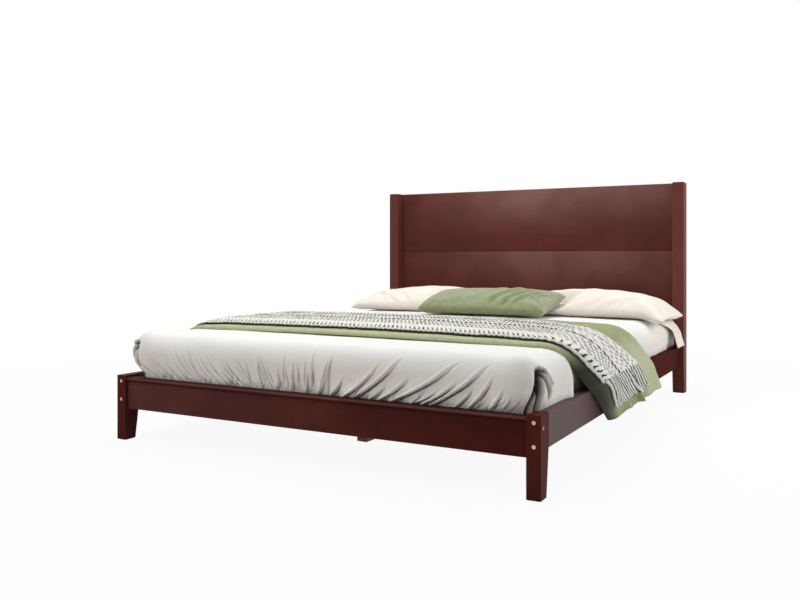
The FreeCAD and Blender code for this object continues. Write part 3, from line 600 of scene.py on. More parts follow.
right_half = half_outline()
left_half = right_half[:, -2:0:-1] * np.array([[-1], [1], [-1], [1], [-1]])
line_x, line_y, normal_x, normal_y, line_along = np.concatenate([left_half, right_half], axis=1)
spine_y = np.clip(line_y, mattress_foot + mattress_half, mattress_head - mattress_half)
head_share = smooth(mattress_head - CORNER_RADIUS, mattress_head - CORNER_RADIUS * 0.4, line_y)


def shell_rings(profile, inner_shares, inner_z):
    """Rings of points up a profile of (reach, height), then in to the middle line of the bed."""
    rings = []
    for reach, z in profile:
        x, y = line_x + normal_x * reach, line_y + normal_y * reach
        rings.append(np.stack([x, y, z + line_x * 0], axis=1))
    edge = rings[-1]
    for share in inner_shares:
        x = edge[:, 0] * (1 - share)
        y = edge[:, 1] + (spine_y - edge[:, 1]) * share
        rings.append(np.stack([x, y, inner_z(x, y, share, edge[:, 2])], axis=1))
    return np.stack(rings)


def make_shell(name, rings, material):
    """A piece made of rings round the mattress's outline."""
    return make_piece(name, rings, grid_faces(len(rings), len(line_x), True), material, "mattress")


def merge_close(piece):
    """Joins the points that meet on the middle line."""
    work = bmesh.new()
    work.from_mesh(piece.data)
    bmesh.ops.remove_doubles(work, verts=work.verts, dist=0.00005)
    bmesh.ops.dissolve_degenerate(work, edges=work.edges, dist=0.00001)
    work.to_mesh(piece.data)
    work.free()


# White cover, tucked behind the rails, with slanting folds at the foot and a pleat at each corner
COVER_BELLY = 0.016
COVER_TUCK = 0.009
COVER_HEAD_BELLY = 0.008
COVER_SHOULDER = 0.092
COVER_FOOT_SHOULDER = 0.070
COVER_CROWN = 0.006
COVER_HEM = slat_top + 0.004
COVER_EAR = {1: 0.022, -1: 0.030}
THROW_PINCH = 0.024
THROW_SWELL = 0.006
cover_shelf = cover_top - COVER_CROWN
shoulder_z = cover_shelf - COVER_SHOULDER
belly_low = rail_top - 0.004
# Main folds across the foot: base and top as (distance from the middle, height), then width and depth
FOOT_FOLDS = (
    ((0.010, 0.228), (0.022, 0.305), 0.008, 0.0070),
    ((0.062, 0.226), (0.088, 0.290), 0.008, 0.0080),
    ((0.110, 0.228), (0.150, 0.285), 0.008, 0.0090),
    ((0.160, 0.228), (0.275, 0.330), 0.009, 0.0120),
    ((0.200, 0.229), (0.345, 0.352), 0.010, 0.0140),
    ((0.255, 0.229), (0.305, 0.280), 0.008, 0.0090),
    ((0.292, 0.231), (0.380, 0.300), 0.009, 0.0120),
    ((0.342, 0.233), (0.530, 0.352), 0.010, 0.0140),
    ((0.410, 0.229), (0.475, 0.272), 0.008, 0.0100),
    ((0.440, 0.231), (0.535, 0.298), 0.009, 0.0130),
    ((0.468, 0.231), (0.625, 0.350), 0.010, 0.0150),
    ((0.536, 0.229), (0.585, 0.286), 0.008, 0.0110),
    ((0.582, 0.234), (0.648, 0.318), 0.009, 0.0120),
    ((0.646, 0.236), (0.676, 0.290), 0.008, 0.0080),
    ((0.676, 0.236), (0.694, 0.272), 0.007, 0.0070),
)
PLEAT_ALONG = {1: 0.762, -1: 0.722}
PLEAT_TOP = 0.346
PLEAT_DEPTH = 0.075
# Strength and limit of the painted shade in the cover's creases and pleats
FOLD_SHADE = 62
CREASE_SHADE_DARKEST = 0.97


def fold(along, height, base, top, width, depth):
    """A ridge with a sharp crease on its right, from a base to a top: its relief, and the painted shade in
    its crease.
    """
    (a0, z0), (a1, z1) = base, top
    share = (height - z0) / (z1 - z0)
    centre = between(a0, a1, share) + 0.10 * (a1 - a0) * np.sin(np.clip(share, 0, 1) * math.pi)
    lean = (z1 - z0) / math.hypot(a1 - a0, z1 - z0)
    off = (along - centre) * lean
    fade = smooth(-0.35, 0.05, share) * smooth(1.15, 0.30, share)
    ridge = 0.85 * bump(off + 0.60 * width, 0.48 * width) + 0.25 * bump(off + 1.8 * width, 1.2 * width)
    crease = bump(off - 0.20 * width, 0.34 * width)
    # Painted shade in the crease, darkest low on the fold
    dark = FOLD_SHADE * depth * fade * smooth(1.1, 0.1, share) * bump(off - 0.16 * width, 0.28 * width)
    return np.stack([depth * fade * (ridge - 1.2 * crease), dark])


def foot_creases(along, height):
    """The main folds of the foot, small leaning ones on its left and short ones low on its right."""
    swell = 0.003 * ripple(along, height * 1.4, 0.17, 23)
    total = np.stack([swell, 0 * swell])
    for base, top, width, depth in FOOT_FOLDS:
        total = total + fold(along, height, base, top, width, depth)
    small = np.random.default_rng(5)
    for a0 in np.linspace(-0.70, 0.10, 46):
        a0 = a0 + small.normal(0, 0.008)
        lean = np.interp(a0, (-0.70, -0.30, -0.05, 0.10), (-0.75, -0.70, -0.10, 0.35))
        lean = lean + small.normal(0, 0.14)
        rise = small.uniform(0.050, 0.125)
        z0 = small.uniform(0.224, 0.258)
        depth = np.interp(a0, (-0.70, -0.35, -0.05), (0.0030, 0.0042, 0.0054)) * small.uniform(0.6, 1.3)
        base, top = (a0, z0), (a0 + lean * rise, z0 + rise)
        total = total + fold(along, height, base, top, small.uniform(0.0055, 0.0085), depth)
    for a0 in small.uniform(0.10, 0.72, 12):
        rise = small.uniform(0.02, 0.07)
        z0 = small.uniform(0.222, 0.240)
        base, top = (a0, z0), (a0 + small.uniform(0.5, 1.2) * rise, z0 + rise)
        width, depth = small.uniform(0.0050, 0.0080), small.uniform(0.003, 0.005)
        total = total + fold(along, height, base, top, width, depth)
    return total * smooth(0.750, 0.715, np.abs(along))


def side_creases(along, height):
    """Soft upright folds where the cover is tucked along the sides and the head."""
    total = 0
    small = np.random.default_rng(8)
    reach = float(line_along.max())
    for hand in (-1, 1):
        for a0 in small.uniform(0.86, reach, 70):
            z0 = small.uniform(0.215, 0.240)
            rise = small.uniform(0.05, 0.13)
            base, top = (hand * a0, z0), (hand * (a0 + small.normal(0, 0.25) * rise), z0 + rise)
            width, depth = small.uniform(0.009, 0.016), small.uniform(0.002, 0.005)
            total = total + fold(along, height, base, top, width, depth)
    return total


def tuck_gathers(along, height):
    """Short puckers just above the rails, with painted shade in them."""
    total = 0
    small = np.random.default_rng(3)
    near = smooth(rail_top + 0.045, rail_top - 0.004, height)
    for a0 in small.uniform(-0.73, 0.73, 44):
        off = along - a0 - 0.4 * (height - rail_top)
        total = total - small.uniform(0.002, 0.005) * bump(off, small.uniform(0.004, 0.007))
    # The second row is painted shade in the puckers
    return np.stack([total * near, -8 * total * near])


def corner_pleat(along, height):
    """A folded corner: two deep slots that meet at the top, a thin flap between, petals outside, with
    painted shade in slots and creases.
    """
    total, dark = 0, 0
    drop = np.clip((PLEAT_TOP - height) / (PLEAT_TOP - rail_top), 0, 1.3)
    for hand in (-1, 1):
        off = along * hand - PLEAT_ALONG[hand]
        ear = smooth(0.224, 0.285, height) * smooth(0.430, 0.355, height)
        total = total + COVER_EAR[hand] * bump(along * hand - corner_middle, 0.060) * ear
        open_by = drop ** 0.8
        wide = 0.0072 - 0.0020 * drop
        slots = bump(off + 0.0290 * open_by, wide) + bump(off + 0.0030 * open_by, wide)
        slots = np.minimum(slots, 1) * smooth(0, 0.12, drop)
        total = total - PLEAT_DEPTH * slots
        total = total + 0.008 * bump(off + 0.0290 * open_by + 0.015, 0.008) * smooth(0, 0.5, drop)
        # Painted shade inside the slots
        dark = dark + smooth(0.04, 0.35, slots)
        for low_a, low_z, deep in ((0.056, 0.285, 0.014), (0.038, 0.258, 0.014)):
            share = (PLEAT_TOP + 0.004 - height) / (PLEAT_TOP - low_z)
            line = off - 0.004 - (low_a - 0.004) * np.clip(share, 0, 1.3) ** 1.25
            fade = smooth(0.0, 0.3, share) * smooth(1.25, 0.75, share)
            total = total + deep * fade * (0.7 * bump(line - 0.008, 0.006) - bump(line, 0.0034))
            # Painted shade in the petal's crease
            dark = dark + 1.2 * fade * bump(line, 0.0030)
    return np.stack([total, dark])


def cover_edge(radius):
    """The cover's side in section up to its top: how far out, height, turn and way up along the cloth."""
    start = cover_shelf - radius
    tucked = np.linspace(COVER_HEM, belly_low, 10, endpoint=False)
    low = np.concatenate([tucked, np.linspace(belly_low, start, 48)])
    belly = between(COVER_TUCK, COVER_BELLY, smooth(belly_low - 0.01, 0.290, low))
    turn = np.linspace(0, math.pi / 2, 56)[1:]
    round_x = COVER_BELLY + radius * (np.cos(turn) - 1)
    upright = np.stack([belly, low, 0 * low, low])
    shoulder = np.stack([round_x, start + radius * np.sin(turn), turn, start + radius * turn])
    return np.concatenate([upright, shoulder], axis=1)[..., None]


def make_cover():
    at_foot = smooth(0.3, 0.95, -normal_y)[None, :]
    edge = cover_edge(COVER_SHOULDER) * (1 - at_foot) + cover_edge(COVER_FOOT_SHOULDER) * at_foot
    reach, level, lean, height = edge
    profile = list(zip(reach, level))
    shares = (0.015, 0.04, 0.07, 0.12, 0.18, 0.26, 0.36, 0.48, 0.62, 0.78, 0.92, 1.0)

    def top_z(x, y, share, edge_z):
        return edge_z + COVER_CROWN * (1 - (1 - share) ** 2)

    rings = shell_rings(profile, shares, top_z)
    along = line_along[None, :]
    from_foot = line_y[None, :] - foot_y
    beside = np.abs(normal_x)[None, :] * np.cos(lean)
    pinch = THROW_PINCH * smooth(0.345, 0.390, from_foot) * smooth(1.45, 1.25, from_foot)
    pinch = pinch - THROW_SWELL * bump(from_foot - 0.325, 0.050)
    move, crease_shade = foot_creases(along, height) + side_creases(along, height)
    for more in (tuck_gathers(along, height), corner_pleat(along, height)):
        move, crease_shade = move + more[0], crease_shade + more[1]
    move = move * smooth(belly_low - 0.030, belly_low + 0.002, height) - pinch * beside
    limit = COVER_HEAD_BELLY + (1 - head_share[None, :]) * COVER_SHOULDER
    push = np.minimum(reach + move * np.cos(lean), limit) - reach
    count = len(profile)
    rings[:count, :, 0] += normal_x * push
    rings[:count, :, 1] += normal_y * push
    rings[:count, :, 2] += move * np.sin(lean)
    inner = rings[count:]
    inner[..., 2] += 0.0010 * ripple(inner[..., 0], inner[..., 1], 0.30, 21)
    cover = make_shell("cover", rings, white_cotton)
    # Painted shade of the creases and pleats, read by the cover's finish
    dark = np.zeros(rings.shape[:2])
    dark[:count] = np.clip(crease_shade, 0, CREASE_SHADE_DARKEST)
    paint(cover, "crease_shade", dark.ravel())
    merge_close(cover)
    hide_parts("bed_cover")


# Mattress under the cover, quilted where it shows between the slats
QUILT_PITCH = 0.14
QUILT_DEPTH = 0.005
MATTRESS_INSET = 0.018
MATTRESS_BEND_DROP = 0.02
PLEAT_ROOM = 0.072


def make_mattress():
    thick = mattress_high.z - slat_top
    radius = COVER_SHOULDER - COVER_BELLY
    bend_z = shoulder_z - MATTRESS_BEND_DROP
    side = [(-0.012, slat_top), (-0.004, slat_top + 0.003), (0.0, slat_top + 0.012)]
    side += [(0.0, slat_top + thick * 0.4), (0.0, bend_z)]
    for turn in np.linspace(0, math.pi / 2, 9)[1:]:
        side.append((radius * (math.cos(turn) - 1), bend_z + radius * math.sin(turn)))

    def quilt(x, y, share, edge_z):
        first = np.abs(np.sin((x + y) * math.pi / QUILT_PITCH))
        second = np.abs(np.sin((x - y) * math.pi / QUILT_PITCH))
        return edge_z + QUILT_DEPTH * bump(np.minimum(first, second), 0.22)

    below = shell_rings(side[:1], np.linspace(0.03, 1, 34), quilt)
    above = shell_rings(side, (0.2, 0.5, 1.0), lambda x, y, share, edge_z: edge_z)
    rings = np.concatenate([below[:0:-1], above])
    inset = MATTRESS_INSET
    for hand, place in PLEAT_ALONG.items():
        inset = inset + PLEAT_ROOM * bump(line_along - hand * place, 0.060)
    rings[..., 0] -= normal_x * inset * np.abs(rings[..., 0]) / mattress_half
    rings[..., 1] -= normal_y * inset
    mattress = make_shell("mattress_body", rings, mattress_cloth)
    merge_close(mattress)
    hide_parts("mattress")


# Throws: a path across the bed, and edges that wander along it
HANG_TURN = math.radians(72)
PATH_STEP = 0.002
PATH_SOFT = 13
PATH_REACH = 1.15
THROW_TAIL = 0.018
RAIL_ROOM = 0.004
throw_flat = mattress_half + COVER_BELLY - COVER_SHOULDER


def throw_path(reach):
    """Level over the top, round the shoulder, straight out past the rail's edge, then down."""
    run = np.arange(0, reach + PATH_STEP, PATH_STEP)
    radius = COVER_SHOULDER
    arc = radius * HANG_TURN
    edge_x = throw_flat + radius * math.sin(HANG_TURN)
    slope = (rail_out + RAIL_ROOM - edge_x) / math.cos(HANG_TURN)
    turn = np.clip((run - throw_flat) / radius, 0, HANG_TURN)
    past = np.clip(run - throw_flat - arc, 0, slope)
    down = np.clip(run - throw_flat - arc - slope, 0, None)
    x = np.minimum(run, throw_flat) + radius * np.sin(turn) + past * math.cos(HANG_TURN)
    crown = COVER_CROWN * (1 - np.clip(run / throw_flat, 0, 1) ** 2)
    z = shoulder_z + radius * np.cos(turn) - past * math.sin(HANG_TURN) - down + crown
    pad = PATH_SOFT // 2
    kernel = np.ones(PATH_SOFT) / PATH_SOFT
    before_x, before_z = -x[pad:0:-1], z[pad:0:-1]
    after_x, after_z = 2 * x[-1] - x[-2:-pad - 2:-1], 2 * z[-1] - z[-2:-pad - 2:-1]
    x = np.convolve(np.concatenate([before_x, x, after_x]), kernel, "valid")
    z = np.convolve(np.concatenate([before_z, z, after_z]), kernel, "valid")
    return run, x, z


path_run, path_x, path_z = throw_path(PATH_REACH)
path_dx, path_dz = np.gradient(path_x, PATH_STEP), np.gradient(path_z, PATH_STEP)


def off_path(u, y, lift):
    """Points that stand off the path by a lift, at distances from the bed's middle and places along it."""
    side = np.where(u < 0, -1.0, 1.0)
    x, z, dx, dz = (np.interp(np.abs(u), path_run, v) for v in (path_x, path_z, path_dx, path_dz))
    size = np.hypot(dx, dz)
    return np.stack([side * x + side * -dz / size * lift, y, z + dx / size * lift], axis=-1)


def eased_line(table, u):
    """A smooth line through given (distance across, distance from the foot) places."""
    places = np.array(table)
    fine = np.linspace(places[0, 0], places[-1, 0], 600)
    line = np.interp(fine, places[:, 0], places[:, 1])
    kernel = np.hanning(31)
    kernel /= kernel.sum()
    line = np.convolve(np.pad(line, 15, mode="reflect", reflect_type="odd"), kernel, "valid")
    return foot_y + np.interp(u, fine, line)


def nose(distance, length):
    """A rounded edge: 0 at the edge, 1 from that length on."""
    share = np.clip(distance / length, 0, 1)
    return np.sqrt(1 - (1 - share) ** 2)


def make_throw(name, u, front, back, nose_length, rows, under, over, material, body, cloth_width):
    """A closed strip between two lines; under and over give how far each face stands off the path."""
    u = u[:, None]
    near, far = eased_line(front, u), eased_line(back, u)
    width = far - near
    lead = nose_length(u)
    curve = 1 - np.cos(np.linspace(0, math.pi / 2, 14))[None, :]
    middle = lead + (width - lead - THROW_TAIL) * np.linspace(0, 1, rows)[None, 1:-1]
    outer = np.concatenate([lead * curve, middle, width - THROW_TAIL * curve[:, ::-1]], axis=1)
    inner = width * np.linspace(0, 1, 16)[None, :]
    distance = np.concatenate([outer[:, ::-1], inner], axis=1)
    lift = np.concatenate([over(u, outer, width)[:, ::-1], under(u, inner, width)], axis=1)
    points = off_path(u, near + distance, lift)
    cloth = np.stack([u + 0 * distance, distance / width * cloth_width], axis=2)
    columns = points.shape[1]
    faces = [f[::-1] for f in grid_faces(len(u), columns, True)]
    faces.append(tuple(range(columns)))
    faces.append(tuple((len(u) - 1) * columns + c for c in reversed(range(columns))))
    return make_piece(name, points, faces, material, body, cloth)


BLANKET_REACH = 1.010
BLANKET_WIDTH = 0.90
BLANKET_FRONT = (
    (-1.010, 0.345), (-0.720, 0.306), (-0.300, 0.297), (0.250, 0.290), (0.500, 0.283),
    (0.700, 0.296), (0.760, 0.345), (0.820, 0.402), (0.860, 0.435), (0.900, 0.487),
    (0.940, 0.560), (0.975, 0.605), (1.010, 0.665),
)
BLANKET_BACK = (
    (-1.010, 1.200), (-0.600, 1.165), (-0.200, 1.160), (0.430, 1.185), (0.600, 1.160),
    (0.690, 1.130), (0.750, 1.158), (0.790, 1.212), (0.840, 1.290), (0.880, 1.345),
    (0.925, 1.392), (1.010, 1.525),
)
# How thick the folded edge stands on top, where it hangs and at the hem, and how far it takes to round
BLANKET_TOP_NOSE, BLANKET_HANG_NOSE, BLANKET_HEM_NOSE = 0.013, 0.044, 0.016
BLANKET_TOP_ROUND, BLANKET_HANG_ROUND = 0.020, 0.060
BLANKET_TOP_THICK, BLANKET_HANG_THICK = 0.013, 0.008
BLANKET_RIM = 0.003
BLANKET_ROOM = 0.0012
# Upright folds of the hanging end: share from front to back, width as a share, and how far out
BLANKET_FOLDS = ((0.33, 0.045, 0.006), (0.515, 0.022, 0.022), (0.70, 0.060, 0.006), (0.93, 0.040, 0.006))


def hanging(u):
    """0 on top of the bed, 1 where a throw hangs."""
    return smooth(0.70, 0.86, np.abs(u))


def blanket_round(u):
    return between(BLANKET_TOP_ROUND, BLANKET_HANG_ROUND, hanging(u))


def blanket_folds(u, distance, width):
    """How far out the upright folds stand at the hanging ends."""
    end = smooth(0.86, 1.0, np.abs(u))
    return sum(out * end * bump(distance / width - place, wide) for place, wide, out in BLANKET_FOLDS)


def blanket_over(u, distance, width):
    """How far the blanket's outer face stands off the path."""
    low = hanging(u)
    lead = blanket_round(u)
    edge = between(BLANKET_TOP_NOSE, BLANKET_HANG_NOSE, low)
    edge = between(edge, BLANKET_HEM_NOSE, smooth(0.88, BLANKET_REACH, np.abs(u)))
    body = between(BLANKET_TOP_THICK, BLANKET_HANG_THICK, low)
    thick = between(body, edge, bump(np.clip(distance - lead, 0, None), 0.150))
    total = between(BLANKET_RIM, thick, nose(distance, lead) * nose(width - distance, THROW_TAIL))
    soft = 0.0012 * ripple(u, distance, 0.045, 31) + 0.0016 * ripple(u, distance, 0.16, 32)
    return total + (0.0026 + soft) * nose(distance, 0.05) + blanket_folds(u, distance, width)


def blanket_under(u, distance, width):
    return BLANKET_ROOM + blanket_folds(u, distance, width)


def on_blanket(u, y):
    """How far the blanket's outer face stands off the path at a place along the bed."""
    near, far = eased_line(BLANKET_FRONT, u), eased_line(BLANKET_BACK, u)
    return blanket_over(u, y - near, far - near)


def make_blanket():
    u = np.linspace(-BLANKET_REACH, BLANKET_REACH, 320)
    piece = make_throw(
        "green_blanket", u, BLANKET_FRONT, BLANKET_BACK, blanket_round, 110,
        blanket_under, blanket_over, green_weave, "mattress", BLANKET_WIDTH,
    )
    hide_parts("throw_blanket")


KNIT_END = 0.868
KNIT_WIDTH = 0.470
KNIT_ROW = 0.0125
KNIT_STITCH = 0.0105
KNIT_EDGE = 0.009
KNIT_TOP_THICK, KNIT_HANG_THICK = 0.0170, 0.0105
KNIT_ROOM = 0.0025
KNIT_RIM = 0.002
KNIT_LUMP = 0.0012
KNIT_FRONT = (
    (-0.868, 0.420), (-0.720, 0.365), (-0.500, 0.372), (0.090, 0.375), (0.420, 0.362), (0.620, 0.345),
    (0.700, 0.345), (0.740, 0.352), (0.780, 0.386), (0.820, 0.428), (0.868, 0.480),
)
KNIT_BACK = (
    (-0.868, 0.945), (-0.600, 0.905), (0.175, 0.900), (0.465, 0.890), (0.600, 0.830), (0.660, 0.760),
    (0.700, 0.730), (0.740, 0.765), (0.780, 0.862), (0.820, 0.968), (0.868, 1.060),
)


def knit_under(u, distance, width):
    return on_blanket(u, eased_line(KNIT_FRONT, u) + distance) + KNIT_ROOM


def knit_over(u, distance, width):
    """Stitches as short slanting lumps in staggered rows, on a body that swells behind its edge."""
    flat = distance / width * KNIT_WIDTH
    row = np.floor(flat / KNIT_ROW)
    step = u / KNIT_STITCH + (row % 2) * 0.5
    level = flat / KNIT_ROW - row
    lump = np.abs(np.cos(math.pi * (step + (level - 0.5) * 0.35))) * np.sin(math.pi * level) ** 0.7
    rounded = nose(distance, 0.010) * nose(width - distance, 0.014)
    body = between(KNIT_TOP_THICK, KNIT_HANG_THICK, hanging(u))
    thick = between(KNIT_EDGE, body, smooth(0, 0.080, distance))
    wander = 0.0008 * (1 + ripple(u, distance, 0.16, 41))
    relief = (thick - KNIT_RIM + KNIT_LUMP * lump + wander) * rounded
    return knit_under(u, distance, width) + KNIT_RIM + relief


def make_knit_throw():
    u = np.linspace(-KNIT_END, KNIT_END, 600)
    piece = make_throw(
        "knit_throw_body", u, KNIT_FRONT, KNIT_BACK, lambda u: 0.012 + 0 * u, 150,
        knit_under, knit_over, knit_wool, "mattress", KNIT_WIDTH,
    )
    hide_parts("knit_throw")
    edges = make_braid_and_shadow_cord()
    fringe = make_fringe()


def make_cords(name, cords, sides):
    """One piece of yarn tubes, from each cord's centres, radii and tone along it."""
    points, faces, tones = [], [], []
    count = 0
    for centres, radii, tone in cords:
        more, quads = tube(centres, radii, sides, count)
        points.append(more)
        faces += quads
        tones.append(np.repeat(np.broadcast_to(tone, len(centres)), sides))
        count += len(more)
    piece = make_piece(name, np.concatenate(points), faces, yarn, "mattress")
    paint(piece, "tone", np.concatenate(tones))
    return piece


BRAID_PITCH = 0.020
BRAID_SIDES = 10
# Cords along each long edge: radius, how far out from the edge, height in radii, and tone; the white one is
# the braid, the charcoal one a painted shadow under the knit's edge
BRAID_AND_SHADOW_CORDS = ((0.0048, 0.003, 1.25, 0.0), (0.0031, 0.006, 0.8, 1.0))


def make_braid_and_shadow_cord():
    """Twisted cords along both long edges of the knit throw: a white one that finishes them, over a
    charcoal one that is a painted shadow under the edge.
    """
    cords = []
    u = np.linspace(-KNIT_END, KNIT_END, 900)
    turn = np.linspace(0, math.tau, BRAID_SIDES, endpoint=False)
    twist = np.abs(np.sin(math.pi * u[:, None] / BRAID_PITCH + 0.5 * turn[None, :]))
    for table, way in ((KNIT_FRONT, -1), (KNIT_BACK, 1)):
        # The second, charcoal cord is a painted shadow under the edge
        for radius, jut, rise, tone in BRAID_AND_SHADOW_CORDS:
            y = eased_line(table, u) + way * jut
            lift = on_blanket(u, y) + KNIT_ROOM + radius * rise
            cords.append((off_path(u, y, lift), radius * (0.72 + 0.48 * twist), tone))
    return make_cords("knit_edge_braid_and_shadow_cord", cords, BRAID_SIDES)


FRINGE_LENGTH = 0.098
FRINGE_PITCH = 0.0088
FRINGE_RADIUS = 0.0045
FRINGE_BEAD = 0.015
FRINGE_SIDES = 7
FRINGE_LAP = 0.006


def make_fringe():
    """Strands at both ends of the knit throw: white pairs between charcoal pairs flecked with white."""
    cords = []
    dice = np.random.default_rng(11)
    fall = np.linspace(0, 1, 26)
    for hand in (-1, 1):
        end = hand * KNIT_END
        near, far = eased_line(KNIT_FRONT, end), eased_line(KNIT_BACK, end)
        strands = int((far - near) / FRINGE_PITCH)
        for i in range(strands):
            share = (i + 0.5) / strands
            dark = i % 4 > 1
            length = FRINGE_LENGTH + dice.normal(0, 0.003)
            lean = 1.2 - 0.3 * share + 0.5 * fall if hand > 0 else 0.3 * share
            u = hand * (KNIT_END - FRINGE_LAP + fall * length)
            sway = 0.0015 * np.sin(fall * 4 + dice.uniform(0, 6))
            y = between(near, far, share) + lean * length * fall + sway
            lift = on_blanket(u, y) + KNIT_ROOM + FRINGE_RADIUS * 1.3
            radius = FRINGE_RADIUS * (1 - 0.20 * fall) * (1 + 0.25 * bump(fall - 0.08, 0.05))
            bead = np.sin(math.tau * (fall * length / FRINGE_BEAD + 0.4 * (i % 5)))
            tone = 1 - 0.55 * smooth(0.55, 0.90, bead) if dark else 0 * fall
            cords.append((off_path(u, y, lift), radius[:, None], tone))
    return make_cords("knit_fringe", cords, FRINGE_SIDES)


# Pillows: two sewn panels, drawn in between their corners and rounded by air pressure
def pillow_points(width, depth, crown, belly, pinch, end_power, columns, rows):
    """Top and bottom panels that share the seam; the middle of the bottom is at the origin."""
    a, b = np.meshgrid(np.linspace(-1, 1, columns), np.linspace(-1, 1, rows), indexing="ij")
    x = width / 2 * a * (1 - pinch * (1 - b * b))
    y = depth / 2 * b * (1 - pinch * 1.2 * (1 - a * a))
    full = (1 - a * a) ** end_power * (1 - np.abs(b) ** 2.2) ** 0.55
    top = np.stack([x, y, belly + crown * full], axis=2)
    bottom = np.stack([x, y, belly - belly * np.minimum(full * 1.8, 1)], axis=2)
    return top, bottom


def sewn_faces(columns, rows):
    """Faces of both panels, with the bottom's edge points taken from the top."""
    index = np.arange(columns * rows).reshape(columns, rows)
    under = index.copy()
    inside = (columns - 2, rows - 2)
    under[1:-1, 1:-1] = columns * rows + np.arange(math.prod(inside)).reshape(inside)
    faces = []
    for i in range(columns - 1):
        for j in range(rows - 1):
            faces.append((index[i, j], index[i + 1, j], index[i + 1, j + 1], index[i, j + 1]))
            faces.append((under[i, j], under[i, j + 1], under[i + 1, j + 1], under[i + 1, j]))
    return [tuple(int(v) for v in f) for f in faces]


CASE_CLOTH = {
    "use_pressure": True,
    "quality": 6,
    "mass": 0.2,
    "tension_stiffness": 12,
    "compression_stiffness": 12,
    "bending_stiffness": 0.4,
    "shrink_min": -0.03,
}
PLUMP_STEPS = 20


def plump(piece, pressure, cap):
    """Air pressure rounds a sewn case; no point moves further than the cap."""
    start = points_of(piece.data)
    cloth = piece.modifiers.new("air", "CLOTH")
    for key, value in CASE_CLOTH.items():
        setattr(cloth.settings, key, value)
    cloth.settings.uniform_pressure_force = pressure
    cloth.settings.effector_weights.gravity = 0
    cloth.collision_settings.use_collision = False
    for step in range(1, PLUMP_STEPS + 1):
        scene.frame_set(step)
    shaped = piece.evaluated_get(bpy.context.evaluated_depsgraph_get())
    move = points_of(shaped.data) - start
    piece.modifiers.remove(cloth)
    scene.frame_set(1)
    size = np.linalg.norm(move, axis=1, keepdims=True)
    move *= np.minimum(1, cap / np.maximum(size, 1e-9))
    piece.data.vertices.foreach_set("co", (start + move).ravel())


def settle(piece, shape):
    """Moves each point of a pillow by a function of all its points."""
    moved = shape(points_of(piece.data).astype(float))
    piece.data.vertices.foreach_set("co", moved.astype(np.float32).ravel())
    piece.data.update()
    finer = piece.modifiers.new("finer", "SUBSURF")
    finer.levels = 1
    finer.render_levels = 1


def sew_pillow(name, size, pinch, end_power, columns, rows, material, body):
    width, depth, crown, belly = size
    top, bottom = pillow_points(width, depth, crown, belly, pinch, end_power, columns, rows)
    points = np.concatenate([top.reshape(-1, 3), bottom[1:-1, 1:-1].reshape(-1, 3)])
    return make_piece(name, points, sewn_faces(columns, rows), material, body)


# Pillow sizes: width, depth, and how far the top and the bottom stand from the seam
PILLOW_SIZE = (0.790, 0.500, 0.082, 0.024)
PILLOW_SIDE = 0.690
PILLOW_DROOP = 0.30
PILLOW_PLACES = {"right": 0.430, "left": -0.378}
PILLOW_POST_GAP = 0.012
PILLOW_COVER_GAP = 0.0008
pillow_y = post_front - PILLOW_POST_GAP - PILLOW_SIZE[1] / 2
pillow_floor = cover_top + PILLOW_COVER_GAP
ACCENT_SIZE = (0.650, 0.335, 0.050, 0.026)
ACCENT_TILT = math.radians(10)
ACCENT_X = 0.030
ACCENT_FROM_FOOT = 1.355
accent_y = foot_y + ACCENT_FROM_FOOT


def under_accent(x, y):
    """The height that the accent pillow leaves free below it, for the pillows it leans on."""
    lean = (y - accent_y) * math.tan(ACCENT_TILT)
    aside = np.clip(np.abs(x - ACCENT_X) - ACCENT_SIZE[0] * 0.49, 0, None)
    behind = np.clip(y - accent_y - ACCENT_SIZE[1], 0, None)
    return lean - 0.006 + 0.9 * aside + 2.0 * behind


def creased(x, y, lines):
    """Relief of sharp ridges beside hollows along lines (x0, y0, x1, y1, width, depth)."""
    total = 0
    for x0, y0, x1, y1, wide, deep in lines:
        length = math.hypot(x1 - x0, y1 - y0)
        go = ((x - x0) * (x1 - x0) + (y - y0) * (y1 - y0)) / length
        off = ((x - x0) * (y1 - y0) - (y - y0) * (x1 - x0)) / length
        fade = smooth(-0.02, 0.04, go) * smooth(length + 0.03, length - 0.05, go)
        total = total + deep * fade * (bump(off, wide) - 0.8 * bump(off - 1.5 * wide, wide))
    return total


PILLOW_CREASES = (
    (0.02, -0.22, 0.16, -0.12, 0.010, 0.006), (0.10, -0.22, 0.26, -0.13, 0.009, 0.006),
    (0.18, -0.20, 0.33, -0.06, 0.010, 0.007), (0.27, -0.18, 0.37, -0.02, 0.010, 0.006),
    (-0.12, -0.22, 0.02, -0.15, 0.011, 0.004), (0.22, -0.08, 0.36, 0.06, 0.012, 0.005),
)
ACCENT_CREASES = (
    (0.03, -0.13, 0.14, 0.10, 0.010, 0.012), (0.09, -0.14, 0.20, 0.07, 0.009, 0.013),
    (0.15, -0.13, 0.25, 0.04, 0.009, 0.012), (0.21, -0.10, 0.28, 0.02, 0.008, 0.009),
    (-0.04, -0.10, 0.06, 0.11, 0.012, 0.006), (-0.24, -0.12, -0.15, 0.00, 0.012, 0.005),
    (-0.14, -0.13, -0.06, 0.03, 0.012, 0.005), (0.30, -0.13, 0.22, -0.04, 0.008, 0.012),
)


